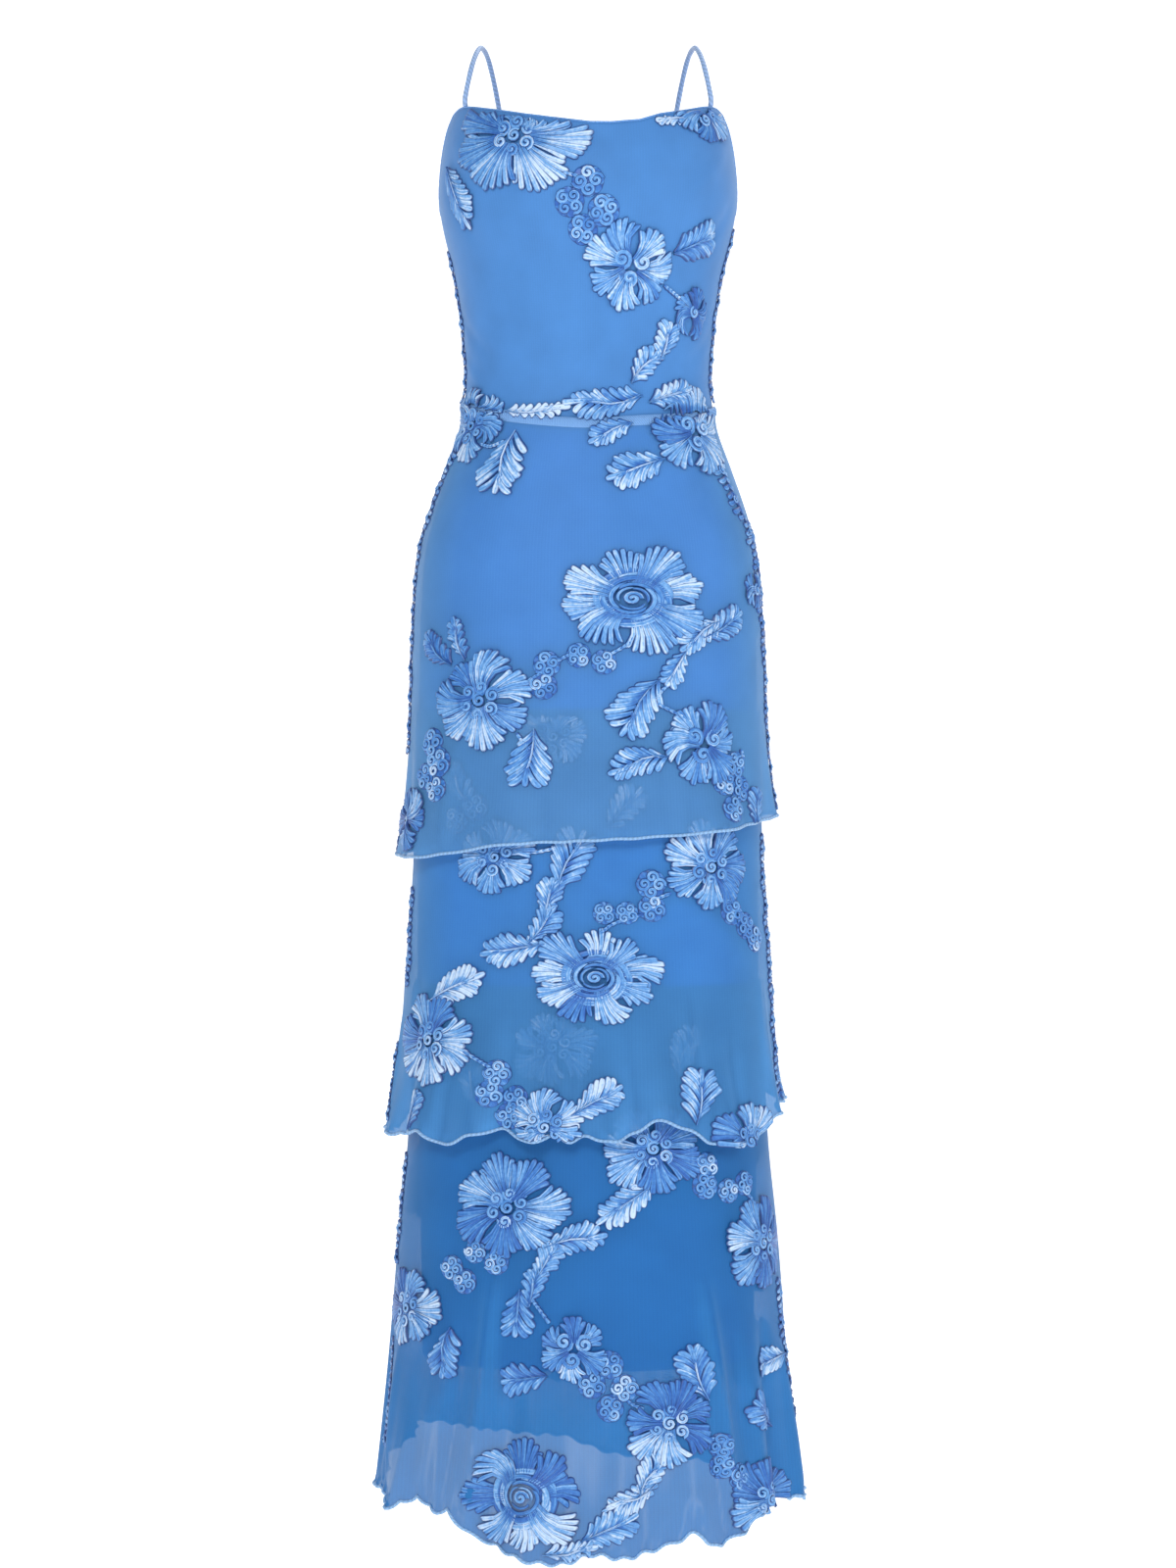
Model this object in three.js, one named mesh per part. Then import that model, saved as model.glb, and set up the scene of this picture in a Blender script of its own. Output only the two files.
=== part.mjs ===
// Maxi dress of embroidered blue mesh: a fitted bodice on two round straps, an opaque lining like a
// slip, and three overlapping sheer tiers that flare toward wavy hems.
// Millimetres, +Z up, the front faces -Y. The origin is where the shoulders hold the dress: midway
// between the tops of the two straps. A drop is a distance below that point. An angle runs round the
// body from the front centre: 90 is the side at +X, 180 the back, and 270 or -90 the side at -X.
import * as THREE from 'three';

// Cloth and seams
const WALL = 1.2;
const SEAM_GAP = 0.3;
const APPLIQUE = 2.0;
const STRAP_DIAMETER = 4.6;
const SQUARENESS = 0.03;

// The stitched strip over the waist seam: how far it reaches above and below it
const STRIP = { above: 3, below: 6.5, off: 0.4, thickness: 2.6 };

// Where the lower layers start and end, as drops
const TIER_2_TOP = 604;
const TIER_3_TOP = 848;
const LINING_HEM = 1186;

// Sections of the bodice's outer face: drop, half width, depth to the front, depth to the back
const BODICE = [
  [56, 121.0, 98, 88], [84, 129.5, 110, 93], [118, 134.2, 119, 96], [145, 134.8, 121, 97],
  [172, 130.4, 115, 95], [207, 121.5, 101, 90], [243, 115.3, 90, 85], [278, 111.8, 81, 81],
  [308, 110.6, 76, 79], [329, 113.0, 76, 80], [350, 115.3, 78, 86], [385, 126.5, 84, 99],
];

// Sections of the lining's outer face, over waist and hips and then straight down
const LINING = [
  [308, 110.6, 76, 79], [329, 113.0, 76, 80], [350, 115.3, 78, 86], [385, 126.5, 84, 99],
  [421, 138.0, 89, 110], [457, 147.0, 93, 119], [492, 150.3, 95, 124], [563, 153.0, 98, 126],
  [604, 153.5, 99, 124], [718, 154.0, 101, 117], [848, 154.5, 102, 110], [1000, 153.0, 102, 108],
  [1186, 150.0, 101, 107], [1345, 149.0, 101, 107],
];

// How far each tier's outer face stands off the lining: drop, at the sides, in front, behind
const STAND_OFF_1 = [
  [329, 1.8, 1.8, 1.8], [350, 2.2, 2.2, 2.2], [385, 3.6, 3, 3], [457, 5.6, 4, 4], [528, 6.6, 5, 5],
  [604, 7.5, 6.5, 6.5], [670, 11.5, 10, 10], [718, 17, 15, 14], [745, 20, 18, 16],
];
const STAND_OFF_2 = [
  [604, 2.2, 2.2, 2.2], [741, 4.5, 5, 5], [777, 6.6, 8, 8], [830, 10.5, 12, 12], [901, 16, 18, 17],
  [972, 26, 27, 25], [990, 29, 29, 27],
];
const STAND_OFF_3 = [
  [848, 2.2, 2.2, 2.2], [991, 10.3, 11, 11], [1080, 20.5, 22, 21], [1204, 32, 36, 34],
  [1311, 41.5, 48, 45], [1345, 43.5, 51, 47],
];

// Edges round the body: angle, drop
const NECKLINE = [
  [-90, 152], [-84, 106], [-78, 80], [-73, 69], [-66, 66], [-60, 66], [-52, 69], [-37, 76], [-25, 82],
  [-15, 86], [-6, 89], [1, 91], [9, 91], [20, 88], [29, 81], [41, 75], [52, 69], [60, 66], [66, 66],
  [73, 69], [78, 80], [84, 106], [90, 152],
];
const BACK_EDGE = [[90, 152], [105, 157], [142, 160], [158, 160], [180, 164], [202, 160], [218, 160],
  [255, 157], [270, 152]];
const WAIST = [
  [-90, 326], [-74, 328], [-56, 334], [-36, 342], [-17, 347], [0, 349], [24, 346], [42, 343], [60, 338],
  [78, 333], [90, 330], [135, 328], [180, 327], [225, 326], [270, 326],
];
const HEM_1 = [
  [-90, 734], [-59, 735], [-44, 731], [-24, 723], [-4, 720], [16, 717], [40, 712], [57, 706],
  [75, 700], [90, 696], [120, 700], [150, 706], [180, 713], [210, 722], [240, 730], [270, 734],
];
const HEM_2 = [
  [-90, 981], [-71, 983], [-53, 977], [-44, 987], [-33, 977], [-24, 972], [-16, 982], [-10, 976],
  [-5, 981], [0, 976], [5, 981], [13, 975], [20, 964], [28, 972], [38, 986], [55, 984], [63, 967],
  [78, 957], [90, 954], [105, 958], [120, 951], [135, 962], [150, 956], [165, 969], [180, 961],
  [195, 974], [210, 966], [225, 979], [240, 972], [255, 983], [270, 981],
];
const HEM_3 = [
  [-90, 1303], [-72, 1302], [-62, 1310], [-51, 1298], [-43, 1306], [-38, 1304], [-30, 1324],
  [-20, 1335], [-7, 1344], [1, 1335], [10, 1338], [19, 1331], [28, 1320], [34, 1333], [42, 1327],
  [50, 1311], [60, 1304], [75, 1308], [90, 1312], [110, 1310], [130, 1319], [150, 1309], [170, 1308],
  [190, 1290], [210, 1281], [230, 1268], [250, 1284], [270, 1303],
];

// Waves of each hem in and out: how many round the dress, how far, and the height that they fade over
const WAVES_1 = { count: 10, depth: 2.5, height: 70 };
const WAVES_2 = { count: 18, depth: 4, height: 80 };
const WAVES_3 = { count: 16, depth: 6, height: 190 };

// Applique flowers in front: garment layer, angle, drop, half width, half height, petals
const FLOWERS = [
  ['bodice', -29, 103, 62, 52, 7], ['bodice', 51, 70, 38, 37, 6], ['bodice', 18, 214, 43, 43, 7],
  ['bodice', 52, 250, 20, 22, 5], ['bodice', 50, 356, 39, 41, 6],
  ['tier_1', 50, 356, 39, 41, 6], ['tier_1', -58, 349, 35, 32, 6], ['tier_1', 14, 507, 71, 49, 8],
  ['tier_1', -35, 596, 48, 45, 7], ['tier_1', 37, 634, 36, 35, 6], ['tier_1', -67, 700, 32, 32, 6],
  ['tier_2', -30, 740, 36, 36, 6], ['tier_2', 2, 839, 62, 46, 8], ['tier_2', 41, 743, 43, 43, 7],
  ['tier_2', -53, 896, 49, 45, 7], ['tier_2', -12, 966, 34, 32, 6], ['tier_2', 50, 985, 39, 35, 6],
  ['tier_3', 20, 989, 48, 41, 7], ['tier_3', -24, 1040, 51, 46, 7], ['tier_3', 61, 1078, 45, 44, 7],
  ['tier_3', -62, 1135, 42, 38, 6], ['tier_3', -4, 1160, 33, 32, 6], ['tier_3', 22, 1225, 43, 37, 7],
  ['tier_3', 52, 1300, 45, 38, 6], ['tier_3', -17, 1286, 54, 51, 8],
];

// Applique leaves in front: garment layer, angle, drop, length, width, way the tip points (90 is up)
const LEAVES = [
  ['bodice', -56, 155, 61, 26, -65], ['bodice', 48, 191, 45, 26, 25], ['bodice', 30, 292, 52, 24, 60],
  ['bodice', 8, 330, 62, 26, 188], ['tier_1', -33, 392, 52, 38, 250], ['tier_1', 16, 395, 50, 28, 200],
  ['tier_1', -50, 547, 42, 28, 130], ['tier_1', -18, 651, 42, 40, 255], ['tier_1', 44, 535, 60, 30, 10],
  ['tier_1', 27, 573, 40, 24, 240], ['tier_1', 15, 607, 55, 40, 235], ['tier_1', 16, 655, 50, 28, 200],
  ['tier_2', -6, 740, 52, 34, 60], ['tier_2', -13, 786, 48, 28, 70], ['tier_2', -26, 817, 53, 28, 185],
  ['tier_2', -41, 850, 54, 26, 30], ['tier_2', 3, 945, 44, 26, 25], ['tier_2', 32, 945, 44, 40, 75],
  ['tier_3', 11, 1039, 63, 26, 215], ['tier_3', -1, 1069, 53, 26, 20], ['tier_3', -16, 1105, 48, 24, 70],
  ['tier_3', -20, 1137, 38, 31, 265], ['tier_3', -41, 1173, 43, 33, 255], ['tier_3', 31, 1185, 46, 31, 110],
  ['tier_3', -18, 1188, 36, 28, 190], ['tier_3', 61, 1200, 60, 30, 150], ['tier_3', 14, 1280, 60, 28, 220],
  ['tier_3', 3, 1321, 60, 30, 15],
];

// Clusters of ribbon rosettes in front: garment layer, angle, drop, radius
const ROSETTES = [
  ['bodice', 0, 167, 26], ['tier_1', -1, 562, 22], ['tier_1', -14, 575, 17], ['tier_1', -55, 654, 28],
  ['tier_1', 49, 671, 26], ['tier_2', 16, 777, 24], ['tier_2', 57, 796, 26], ['tier_2', -25, 941, 26],
  ['tier_3', 43, 1020, 26], ['tier_3', -35, 1093, 26], ['tier_3', 6, 1192, 26], ['tier_3', 38, 1262, 22],
];

// On the bodice the embroidery is flattened into the waist seam: from where, and to where it is flat
const FLAT_FROM = 298;
const FLAT_AT = 312;

// The back of the cloth carries the same flowers mirrored, lower or higher by this much
const BACK_SHIFT = { bodice: 60, tier_1: 24, tier_2: -20, tier_3: -100 };

const rad = THREE.MathUtils.degToRad;

// Reads a table at a place: straight between its rows
function along(table, place) {
  const last = table.length - 2;
  const row = Math.min(Math.max(table.findIndex((r) => r[0] >= place) - 1, 0), last);
  const [a, b] = [table[row], table[row + 1]];
  const t = THREE.MathUtils.clamp((place - a[0]) / (b[0] - a[0]), 0, 1);
  return a[1] + (b[1] - a[1]) * t;
}

// An edge moved down by a distance
const lowered = (edge, distance) => edge.map(([angle, drop]) => [angle, drop + distance]);

// Reads a table of sections at a drop: a smooth curve through its rows, one value for each column
function smoothly(table, drop) {
  const last = table.length - 1;
  const place = THREE.MathUtils.clamp(drop, table[0][0], table[last][0]);
  const row = Math.min(Math.max(table.findIndex((r) => r[0] >= place) - 1, 0), last - 1);
  const [a, b] = [table[row], table[row + 1]];
  const before = table[Math.max(row - 1, 0)];
  const after = table[Math.min(row + 2, last)];
  const step = b[0] - a[0];
  const t = (place - a[0]) / step;
  return a.slice(1).map((value, i) => {
    const column = i + 1;
    const slopeIn = (b[column] - before[column]) / (b[0] - before[0]);
    const slopeOut = (after[column] - a[column]) / (after[0] - a[0]);
    return (2 * t ** 3 - 3 * t ** 2 + 1) * value + (t ** 3 - 2 * t ** 2 + t) * step * slopeIn
      + (3 * t ** 2 - 2 * t ** 3) * b[column] + (t ** 3 - t ** 2) * step * slopeOut;
  });
}

// The section of a layer at a drop: half width, depth in front, depth behind
const layers = {
  bodice: (drop) => smoothly(BODICE, drop),
  lining: (drop) => smoothly(LINING, drop),
  strip: (drop) => smoothly(LINING, drop).map((size) => size + STRIP.off + STRIP.thickness),
  tier_1: (drop) => offLining(STAND_OFF_1, drop),
  tier_2: (drop) => offLining(STAND_OFF_2, drop),
  tier_3: (drop) => offLining(STAND_OFF_3, drop),
};

function offLining(standOff, drop) {
  const off = smoothly(standOff, drop);
  return smoothly(LINING, drop).map((size, i) => size + off[i]);
}

// A point on a layer's section, moved out (or in, below zero) from its face
function placeOn(layer, angle, drop, out) {
  const [half, front, back] = layers[layer](drop);
  const depth = Math.cos(angle) > 0 ? front : back;
  const bulge = 1 + SQUARENESS * Math.sin(2 * angle) ** 2;
  return new THREE.Vector3(
    (half + out) * bulge * Math.sin(angle),
    -(depth + out) * bulge * Math.cos(angle),
    -drop,
  );
}

// Applique: how high the embroidery stands at a place, 0 on the plain mesh
const softStep = (value) => THREE.MathUtils.smoothstep(value, 0, 1);

function flowerHeight(right, up, [, , , wide, tall, petals]) {
  const radius = Math.hypot(right / wide, up / tall);
  const turn = Math.atan2(up, right);
  const edge = 0.84 + 0.16 * Math.cos(petals * turn);
  const petal = softStep((edge - radius) / 0.18) * (0.62 + 0.2 * Math.cos(petals * turn));
  const centre = 0.38 * softStep((0.42 - radius) / 0.15);
  return petal + centre;
}

function leafHeight(right, up, [, , , length, width, tip]) {
  const lie = rad(tip);
  const ahead = (right * Math.cos(lie) + up * Math.sin(lie)) / (length / 2);
  const aside = (up * Math.cos(lie) - right * Math.sin(lie)) / (width / 2);
  return 0.8 * softStep((1 - ahead ** 2 - Math.abs(aside)) / 0.3);
}

const rosetteHeight = (right, up, [, , , radius]) => 0.9 * softStep((1 - Math.hypot(right, up) / radius) / 0.35);

function appliqueHeight(layer, angle, drop) {
  const [half, front] = layers[layer](drop);
  const behind = Math.cos(angle) < 0;
  const seen = behind ? Math.PI - angle : angle;
  const level = behind ? drop - BACK_SHIFT[layer] : drop;
  const stretch = Math.hypot(half * Math.cos(angle), front * Math.sin(angle));
  let height = 0;
  for (const [motifs, heightOf] of [[FLOWERS, flowerHeight], [LEAVES, leafHeight], [ROSETTES, rosetteHeight]]) {
    for (const motif of motifs) {
      if (motif[0] !== layer) continue;
      height = Math.max(height, heightOf((seen - rad(motif[1])) * stretch, motif[2] - level, motif));
    }
  }
  const pressed = layer === 'bodice' ? softStep((FLAT_AT - drop) / (FLAT_AT - FLAT_FROM)) : 1;
  return APPLIQUE * height * pressed;
}

// Hem waves grow toward the hem
function waveAt(waves, angle, drop, hem) {
  if (!waves) return 0;
  const grown = THREE.MathUtils.clamp(1 - (hem - drop) / waves.height, 0, 1);
  return waves.depth * grown ** 2 * Math.sin(waves.count * angle);
}

// Joins two runs of points, which may differ in number, with a strip of triangles
function joinRuns(a, b, faces) {
  let i = 0;
  let j = 0;
  while (i < a.length - 1 || j < b.length - 1) {
    const nextA = (i + 1) / (a.length - 1);
    const nextB = (j + 1) / (b.length - 1);
    if (j === b.length - 1 || (i < a.length - 1 && nextA <= nextB)) {
      faces.push(a[i], a[i + 1], b[j]);
      i += 1;
    } else {
      faces.push(a[i], b[j + 1], b[j]);
      j += 1;
    }
  }
}

// A cloth panel as a closed wall: a fine outer face with its applique, and a plain inner face. The
// inner face keeps every row of the curved share of the height from the top, then one row in three.
// Rows lie closer near the top where `crowding` is over 1.
function clothPanel({ name, layer, behind, grid, crowding, curved, top, hem, waves, wall, plain, color }) {
  const [columns, rows] = grid;
  const points = [];
  const makeFace = (inside) => {
    const kept = [];
    for (let row = 0; row <= rows; row += 1) {
      const down = (row / rows) ** crowding;
      if (inside && down > curved && row % 3 !== 0 && row !== rows) continue;
      const line = [];
      for (let column = 0; column <= columns; column += 1) {
        const share = 2 * column / columns - 1;
        const roughAngle = behind ? Math.PI + share * Math.PI / 2 : share * Math.PI / 2;
        const degrees = THREE.MathUtils.radToDeg(roughAngle);
        const upper = typeof top === 'number' ? top : along(top, degrees);
        const lower = typeof hem === 'number' ? hem : along(hem, degrees);
        const drop = upper + (lower - upper) * down;
        const [, front, back] = layers[layer](drop);
        const seam = share * (SEAM_GAP / 2) / (behind ? back : front);
        const angle = roughAngle - seam;
        const wave = waveAt(waves, angle, drop, lower);
        const raised = inside || plain ? 0 : appliqueHeight(layer, angle, drop);
        const out = inside ? wave - wall : wave + raised;
        line.push(points.length);
        points.push(placeOn(layer, angle, drop, out));
      }
      kept.push(line);
    }
    return kept;
  };
  const outer = makeFace(false);
  const inner = makeFace(true);
  const faces = [];
  for (const face of [outer, inner]) {
    for (let row = 0; row < face.length - 1; row += 1) {
      for (let column = 0; column < columns; column += 1) {
        const [a, b] = [face[row][column], face[row][column + 1]];
        const [c, d] = [face[row + 1][column + 1], face[row + 1][column]];
        if (face === outer) faces.push(a, d, c, a, c, b);
        else faces.push(a, c, d, a, b, c);
      }
    }
  }
  joinRuns(outer[0], inner[0], faces);
  joinRuns(inner.at(-1), outer.at(-1), faces);
  joinRuns(inner.map((line) => line[0]), outer.map((line) => line[0]), faces);
  joinRuns(outer.map((line) => line.at(-1)), inner.map((line) => line.at(-1)), faces);
  const geometry = new THREE.BufferGeometry().setFromPoints(points);
  geometry.setIndex(faces);
  return named(name, geometry, color);
}

function named(name, geometry, color) {
  geometry.computeVertexNormals();
  const material = new THREE.MeshStandardMaterial({ color, roughness: 0.75, metalness: 0 });
  const mesh = new THREE.Mesh(geometry, material);
  mesh.name = name;
  return mesh;
}

// A round strap: up from the neckline's corner, over the shoulder and down to the back's top edge
function strap(name, side) {
  const centre = -WALL / 2;
  const frontEnd = placeOn('bodice', rad(60), along(NECKLINE, 60), centre);
  const backEnd = placeOn('bodice', rad(150), along(BACK_EDGE, 150), centre);
  const lift = SEAM_GAP;
  const path = [
    [frontEnd.x, frontEnd.y, frontEnd.z + lift], [frontEnd.x, frontEnd.y, frontEnd.z + 10],
    [104, -38, -26], [99, -16, -7], [95, 4, -STRAP_DIAMETER / 2], [90, 28, -11], [83, 53, -42],
    [74, 75, -98], [backEnd.x, backEnd.y, backEnd.z + 10], [backEnd.x, backEnd.y, backEnd.z + lift],
  ].map(([x, y, z]) => new THREE.Vector3(side * x, y, z));
  const round = new THREE.Shape().absarc(0, 0, STRAP_DIAMETER / 2, 0, 2 * Math.PI);
  const geometry = new THREE.ExtrudeGeometry(round, {
    steps: 22, curveSegments: 4, extrudePath: new THREE.CatmullRomCurve3(path),
  });
  return named(name, geometry, 0x8fb2e2);
}

// Every pair of panels: a front and a back of the same layer, with the columns and rows of each
const PAIRS = [
  { layer: 'bodice', front: [33, 14], back: [24, 9], top: NECKLINE, backTop: BACK_EDGE, hem: WAIST, color: 0x5b98e0 },
  { layer: 'strip', front: [33, 2], back: [24, 2], top: lowered(WAIST, -STRIP.above),
    hem: lowered(WAIST, STRIP.below), plain: true, wall: STRIP.thickness, color: 0x86b4ec },
  { layer: 'lining', front: [33, 11], back: [16, 11], top: lowered(WAIST, SEAM_GAP), hem: LINING_HEM,
    plain: true, crowding: 1.8, color: 0x2f7fd6 },
  { layer: 'tier_1', front: [33, 20], back: [24, 15], top: lowered(WAIST, STRIP.below + SEAM_GAP),
    hem: HEM_1, waves: WAVES_1, curved: 0.4, color: 0x5b96dc },
  { layer: 'tier_2', front: [33, 18], back: [24, 14], top: TIER_2_TOP, hem: HEM_2, waves: WAVES_2,
    curved: 0, color: 0x4f8dd6 },
  { layer: 'tier_3', front: [33, 22], back: [24, 17], top: TIER_3_TOP, hem: HEM_3, waves: WAVES_3,
    curved: 0, color: 0x4586d2 },
];

const dress = new THREE.Group();
for (const pair of PAIRS) {
  const shared = { wall: WALL, crowding: 1, curved: 1, ...pair };
  dress.add(clothPanel({ ...shared, name: `${pair.layer}_front`, behind: false, grid: pair.front }));
  dress.add(clothPanel({ ...shared, name: `${pair.layer}_back`, behind: true, grid: pair.back,
    top: pair.backTop ?? pair.top }));
}
dress.add(strap('strap_left', 1));
dress.add(strap('strap_right', -1));

export default dress;
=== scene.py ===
import math

import bmesh
import bpy
import numpy as np
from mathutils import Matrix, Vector


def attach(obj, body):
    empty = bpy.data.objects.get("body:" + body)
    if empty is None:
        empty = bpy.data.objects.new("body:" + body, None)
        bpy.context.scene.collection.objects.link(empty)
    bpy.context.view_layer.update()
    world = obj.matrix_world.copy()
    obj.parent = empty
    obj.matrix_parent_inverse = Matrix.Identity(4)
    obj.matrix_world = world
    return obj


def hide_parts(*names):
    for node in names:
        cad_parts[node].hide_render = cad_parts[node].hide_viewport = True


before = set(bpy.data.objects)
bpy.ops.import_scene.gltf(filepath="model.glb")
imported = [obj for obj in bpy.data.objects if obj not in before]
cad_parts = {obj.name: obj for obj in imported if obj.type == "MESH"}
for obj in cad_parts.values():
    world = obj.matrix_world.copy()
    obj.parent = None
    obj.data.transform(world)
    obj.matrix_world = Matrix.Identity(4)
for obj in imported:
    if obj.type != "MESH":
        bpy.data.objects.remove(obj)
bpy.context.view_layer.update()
MM = 0.001
scene = bpy.context.scene

# Camera. The photograph looks straight at the front from about three metres, level with the hips,
# and its frame is 1.42 m tall at the dress.
CAMERA_AWAY = 3.0
CAMERA_HEIGHT = -0.670
FRAME_HEIGHT = 1.424
SENSOR = 36
camera_data = bpy.data.cameras.new("camera")
camera_data.sensor_width = SENSOR
camera_data.lens = camera_data.sensor_width * CAMERA_AWAY / FRAME_HEIGHT
camera = bpy.data.objects.new("camera", camera_data)
camera.location = (0, -CAMERA_AWAY, CAMERA_HEIGHT)
camera.rotation_euler = (math.radians(90), 0, 0)
scene.collection.objects.link(camera)
scene.camera = camera


# Studio. A white paper sweep, flat under the dress and curving up well behind it, so that the dress
# can be walked round. The dress hangs clear of it as on a wearer, in soft light from all round with a
# large soft box at the front.
def shaped_grid(name, columns, rows, where, closed=False):
    """A grid shaped by where(across, up), both 0 to 1, which gives points and pattern places in metres."""
    bm = bmesh.new()
    bm.loops.layers.uv.new("cloth")
    bmesh.ops.create_grid(bm, x_segments=columns, y_segments=rows, size=1, calc_uvs=True)
    mesh = bpy.data.meshes.new(name)
    bm.to_mesh(mesh)
    bm.free()
    flat = np.empty(len(mesh.vertices) * 3)
    mesh.vertices.foreach_get("co", flat)
    flat = flat.reshape(-1, 3)
    across = (flat[:, 0] - flat[:, 0].min()) / np.ptp(flat[:, 0])
    up = (flat[:, 1] - flat[:, 1].min()) / np.ptp(flat[:, 1])
    points, pattern = where(across, up)
    mesh.vertices.foreach_set("co", points.ravel())
    corners = np.empty(len(mesh.loops), dtype=np.int32)
    mesh.loops.foreach_get("vertex_index", corners)
    mesh.uv_layers[0].data.foreach_set("uv", pattern[corners].ravel())
    if closed:
        bm = bmesh.new()
        bm.from_mesh(mesh)
        bmesh.ops.remove_doubles(bm, verts=bm.verts, dist=2e-6)
        bmesh.ops.recalc_face_normals(bm, faces=bm.faces)
        bm.to_mesh(mesh)
        bm.free()
    mesh.shade_smooth()
    piece = bpy.data.objects.new(name, mesh)
    scene.collection.objects.link(piece)
    return piece


def set_inputs(tree, node, values):
    """Gives inputs of a node their values: a plain one, or the output of an earlier node."""
    for socket, value in values.items():
        if isinstance(value, bpy.types.NodeSocket):
            tree.links.new(value, node.inputs[socket])
        else:
            node.inputs[socket].default_value = value


def new_material(name):
    """A material with its node tree and its shader."""
    material = bpy.data.materials.new(name)
    material.use_nodes = True
    return material, material.node_tree, material.node_tree.nodes["Principled BSDF"]


FLOOR = -1.47
SWEEP_WIDTH = 16.0
SWEEP_FRONT = -6.0
SWEEP_BACK = 5.2
SWEEP_RADIUS = 1.5
SWEEP_RISE = 4.0
PAPER_GLOW = 0.58
ROOM_LIGHT = 0.44
LIGHTS_AIM = Vector((0, 0, -0.6))


def sweep_paper(across, up):
    flat_length = SWEEP_BACK - SWEEP_FRONT
    bend_length = SWEEP_RADIUS * math.pi / 2
    run = up * (flat_length + bend_length + SWEEP_RISE)
    bend = np.clip((run - flat_length) / SWEEP_RADIUS, 0, math.pi / 2)
    rise = np.clip(run - flat_length - bend_length, 0, None)
    y = SWEEP_FRONT + np.minimum(run, flat_length) + SWEEP_RADIUS * np.sin(bend)
    z = FLOOR + SWEEP_RADIUS * (1 - np.cos(bend)) + rise
    return np.stack([(across - 0.5) * SWEEP_WIDTH, y, z], axis=-1), np.stack([across, up], axis=-1)


sweep = shaped_grid("paper_sweep", 4, 120, sweep_paper)
paper, paper_tree, paper_shader = new_material("white_paper")
set_inputs(paper_tree, paper_shader, {
    "Base Color": (0.93, 0.93, 0.93, 1), "Roughness": 0.9,
    "Emission Color": (1, 1, 1, 1), "Emission Strength": PAPER_GLOW,
})
sweep.data.materials.append(paper)

scene.view_settings.view_transform = "Standard"
world = bpy.data.worlds.new("studio")
world.use_nodes = True
room = world.node_tree.nodes["Background"]
set_inputs(world.node_tree, room, {"Color": (1, 1, 1, 1), "Strength": ROOM_LIGHT})
scene.world = world

SOFT_BOXES = [
    # name, place, size, energy
    ("front_box", (-0.6, -3.2, 0.9), 1.0, 47),
    ("side_box", (2.6, -1.8, 0.4), 1.2, 20),
    ("back_box", (0.8, 1.6, 1.9), 1.6, 30),
]
for name, place, size, energy in SOFT_BOXES:
    lamp = bpy.data.lights.new(name, "AREA")
    lamp.size = size
    lamp.energy = energy
    soft_box = bpy.data.objects.new(name, lamp)
    soft_box.location = place
    soft_box.rotation_euler = (LIGHTS_AIM - Vector(place)).to_track_quat("-Z", "Y").to_euler()
    scene.collection.objects.link(soft_box)


# Bodice. Two panels of embroidered mesh over an opaque knit, cut to follow bust and waist, with a
# nearly straight neckline and a low back. Everything on the dress is placed by layer, angle round
# the body from the front centre, drop below the shoulders and height off the cloth, in millimetres.
SQUARENESS = 0.03
LINING_HEM = 1186
# across the cloth, patterns and creases are measured as on a round body of this radius
GIRTH = 150.0
SIDE_SEAM = 0.0002
WAIST = [
    # angle, drop
    (-90, 326), (-74, 328), (-56, 334), (-36, 342), (-17, 347), (0, 349), (24, 346), (42, 343), (60, 338),
    (78, 333), (90, 330), (135, 328), (180, 327), (225, 326), (270, 326),
]
# sections of body and lining where they meet: drop, half width, depth in front, depth behind
WAIST_SECTIONS = [(308, 110.6, 76, 79), (329, 113.0, 76, 80), (350, 115.3, 78, 86), (385, 126.5, 84, 99)]
SECTIONS = {
    "bodice": [
        (56, 121.0, 98, 88), (84, 129.5, 110, 93), (118, 134.2, 119, 96), (145, 134.8, 121, 97),
        (172, 130.4, 115, 95), (207, 121.5, 101, 90), (243, 115.3, 90, 85), (278, 111.8, 81, 81),
        *WAIST_SECTIONS,
    ],
}
STAND_OFF = {}
TOPS = {
    "bodice_front": [
        # angle, drop
        (-90, 152), (-84, 106), (-78, 80), (-73, 69), (-66, 66), (-60, 66), (-52, 69), (-37, 76), (-25, 82),
        (-15, 86), (-6, 89), (1, 91), (9, 91), (20, 88), (29, 81), (41, 75), (52, 69), (60, 66), (66, 66),
        (73, 69), (78, 80), (84, 106), (90, 152),
    ],
    "bodice_back": [
        (90, 152), (105, 157), (142, 160), (158, 160), (180, 164), (202, 160), (218, 160), (255, 157),
        (270, 152),
    ],
}
HEMS = {"bodice": WAIST}
WAVES = {}
LETTUCE = {}
# the ripples of a lettuce edge come closer and wider apart this many times round, by this much
RIPPLE_DRIFTS = 5
RIPPLE_DRIFT = 1.7
# a crease fades out towards its ends, and this share of its swell lies beyond each
CREASE_END = 0.03
CREASES = {
    "bodice": [
        # angle and drop at one end, then at the other, width, height (a trough is below zero)
        (-62, 100, -34, 150, 9, 1.6), (-70, 130, -48, 190, 8, -1.5), (64, 105, 40, 150, 9, 1.4),
        (72, 150, 50, 200, 8, -1.4), (-80, 250, -50, 285, 7, -1.3), (78, 262, 52, 292, 7, -1.2),
        (-78, 290, -56, 312, 6, 1.2), (-12, 100, 14, 104, 10, -1.2), (-40, 205, -20, 215, 9, -0.9),
        (100, 190, 132, 215, 9, -1.4), (258, 195, 228, 222, 9, -1.4), (105, 260, 140, 292, 8, 1.3),
        (250, 255, 222, 290, 8, 1.2), (168, 185, 172, 300, 7, -1.6), (188, 190, 190, 290, 6, 1.1),
    ],
}


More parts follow.
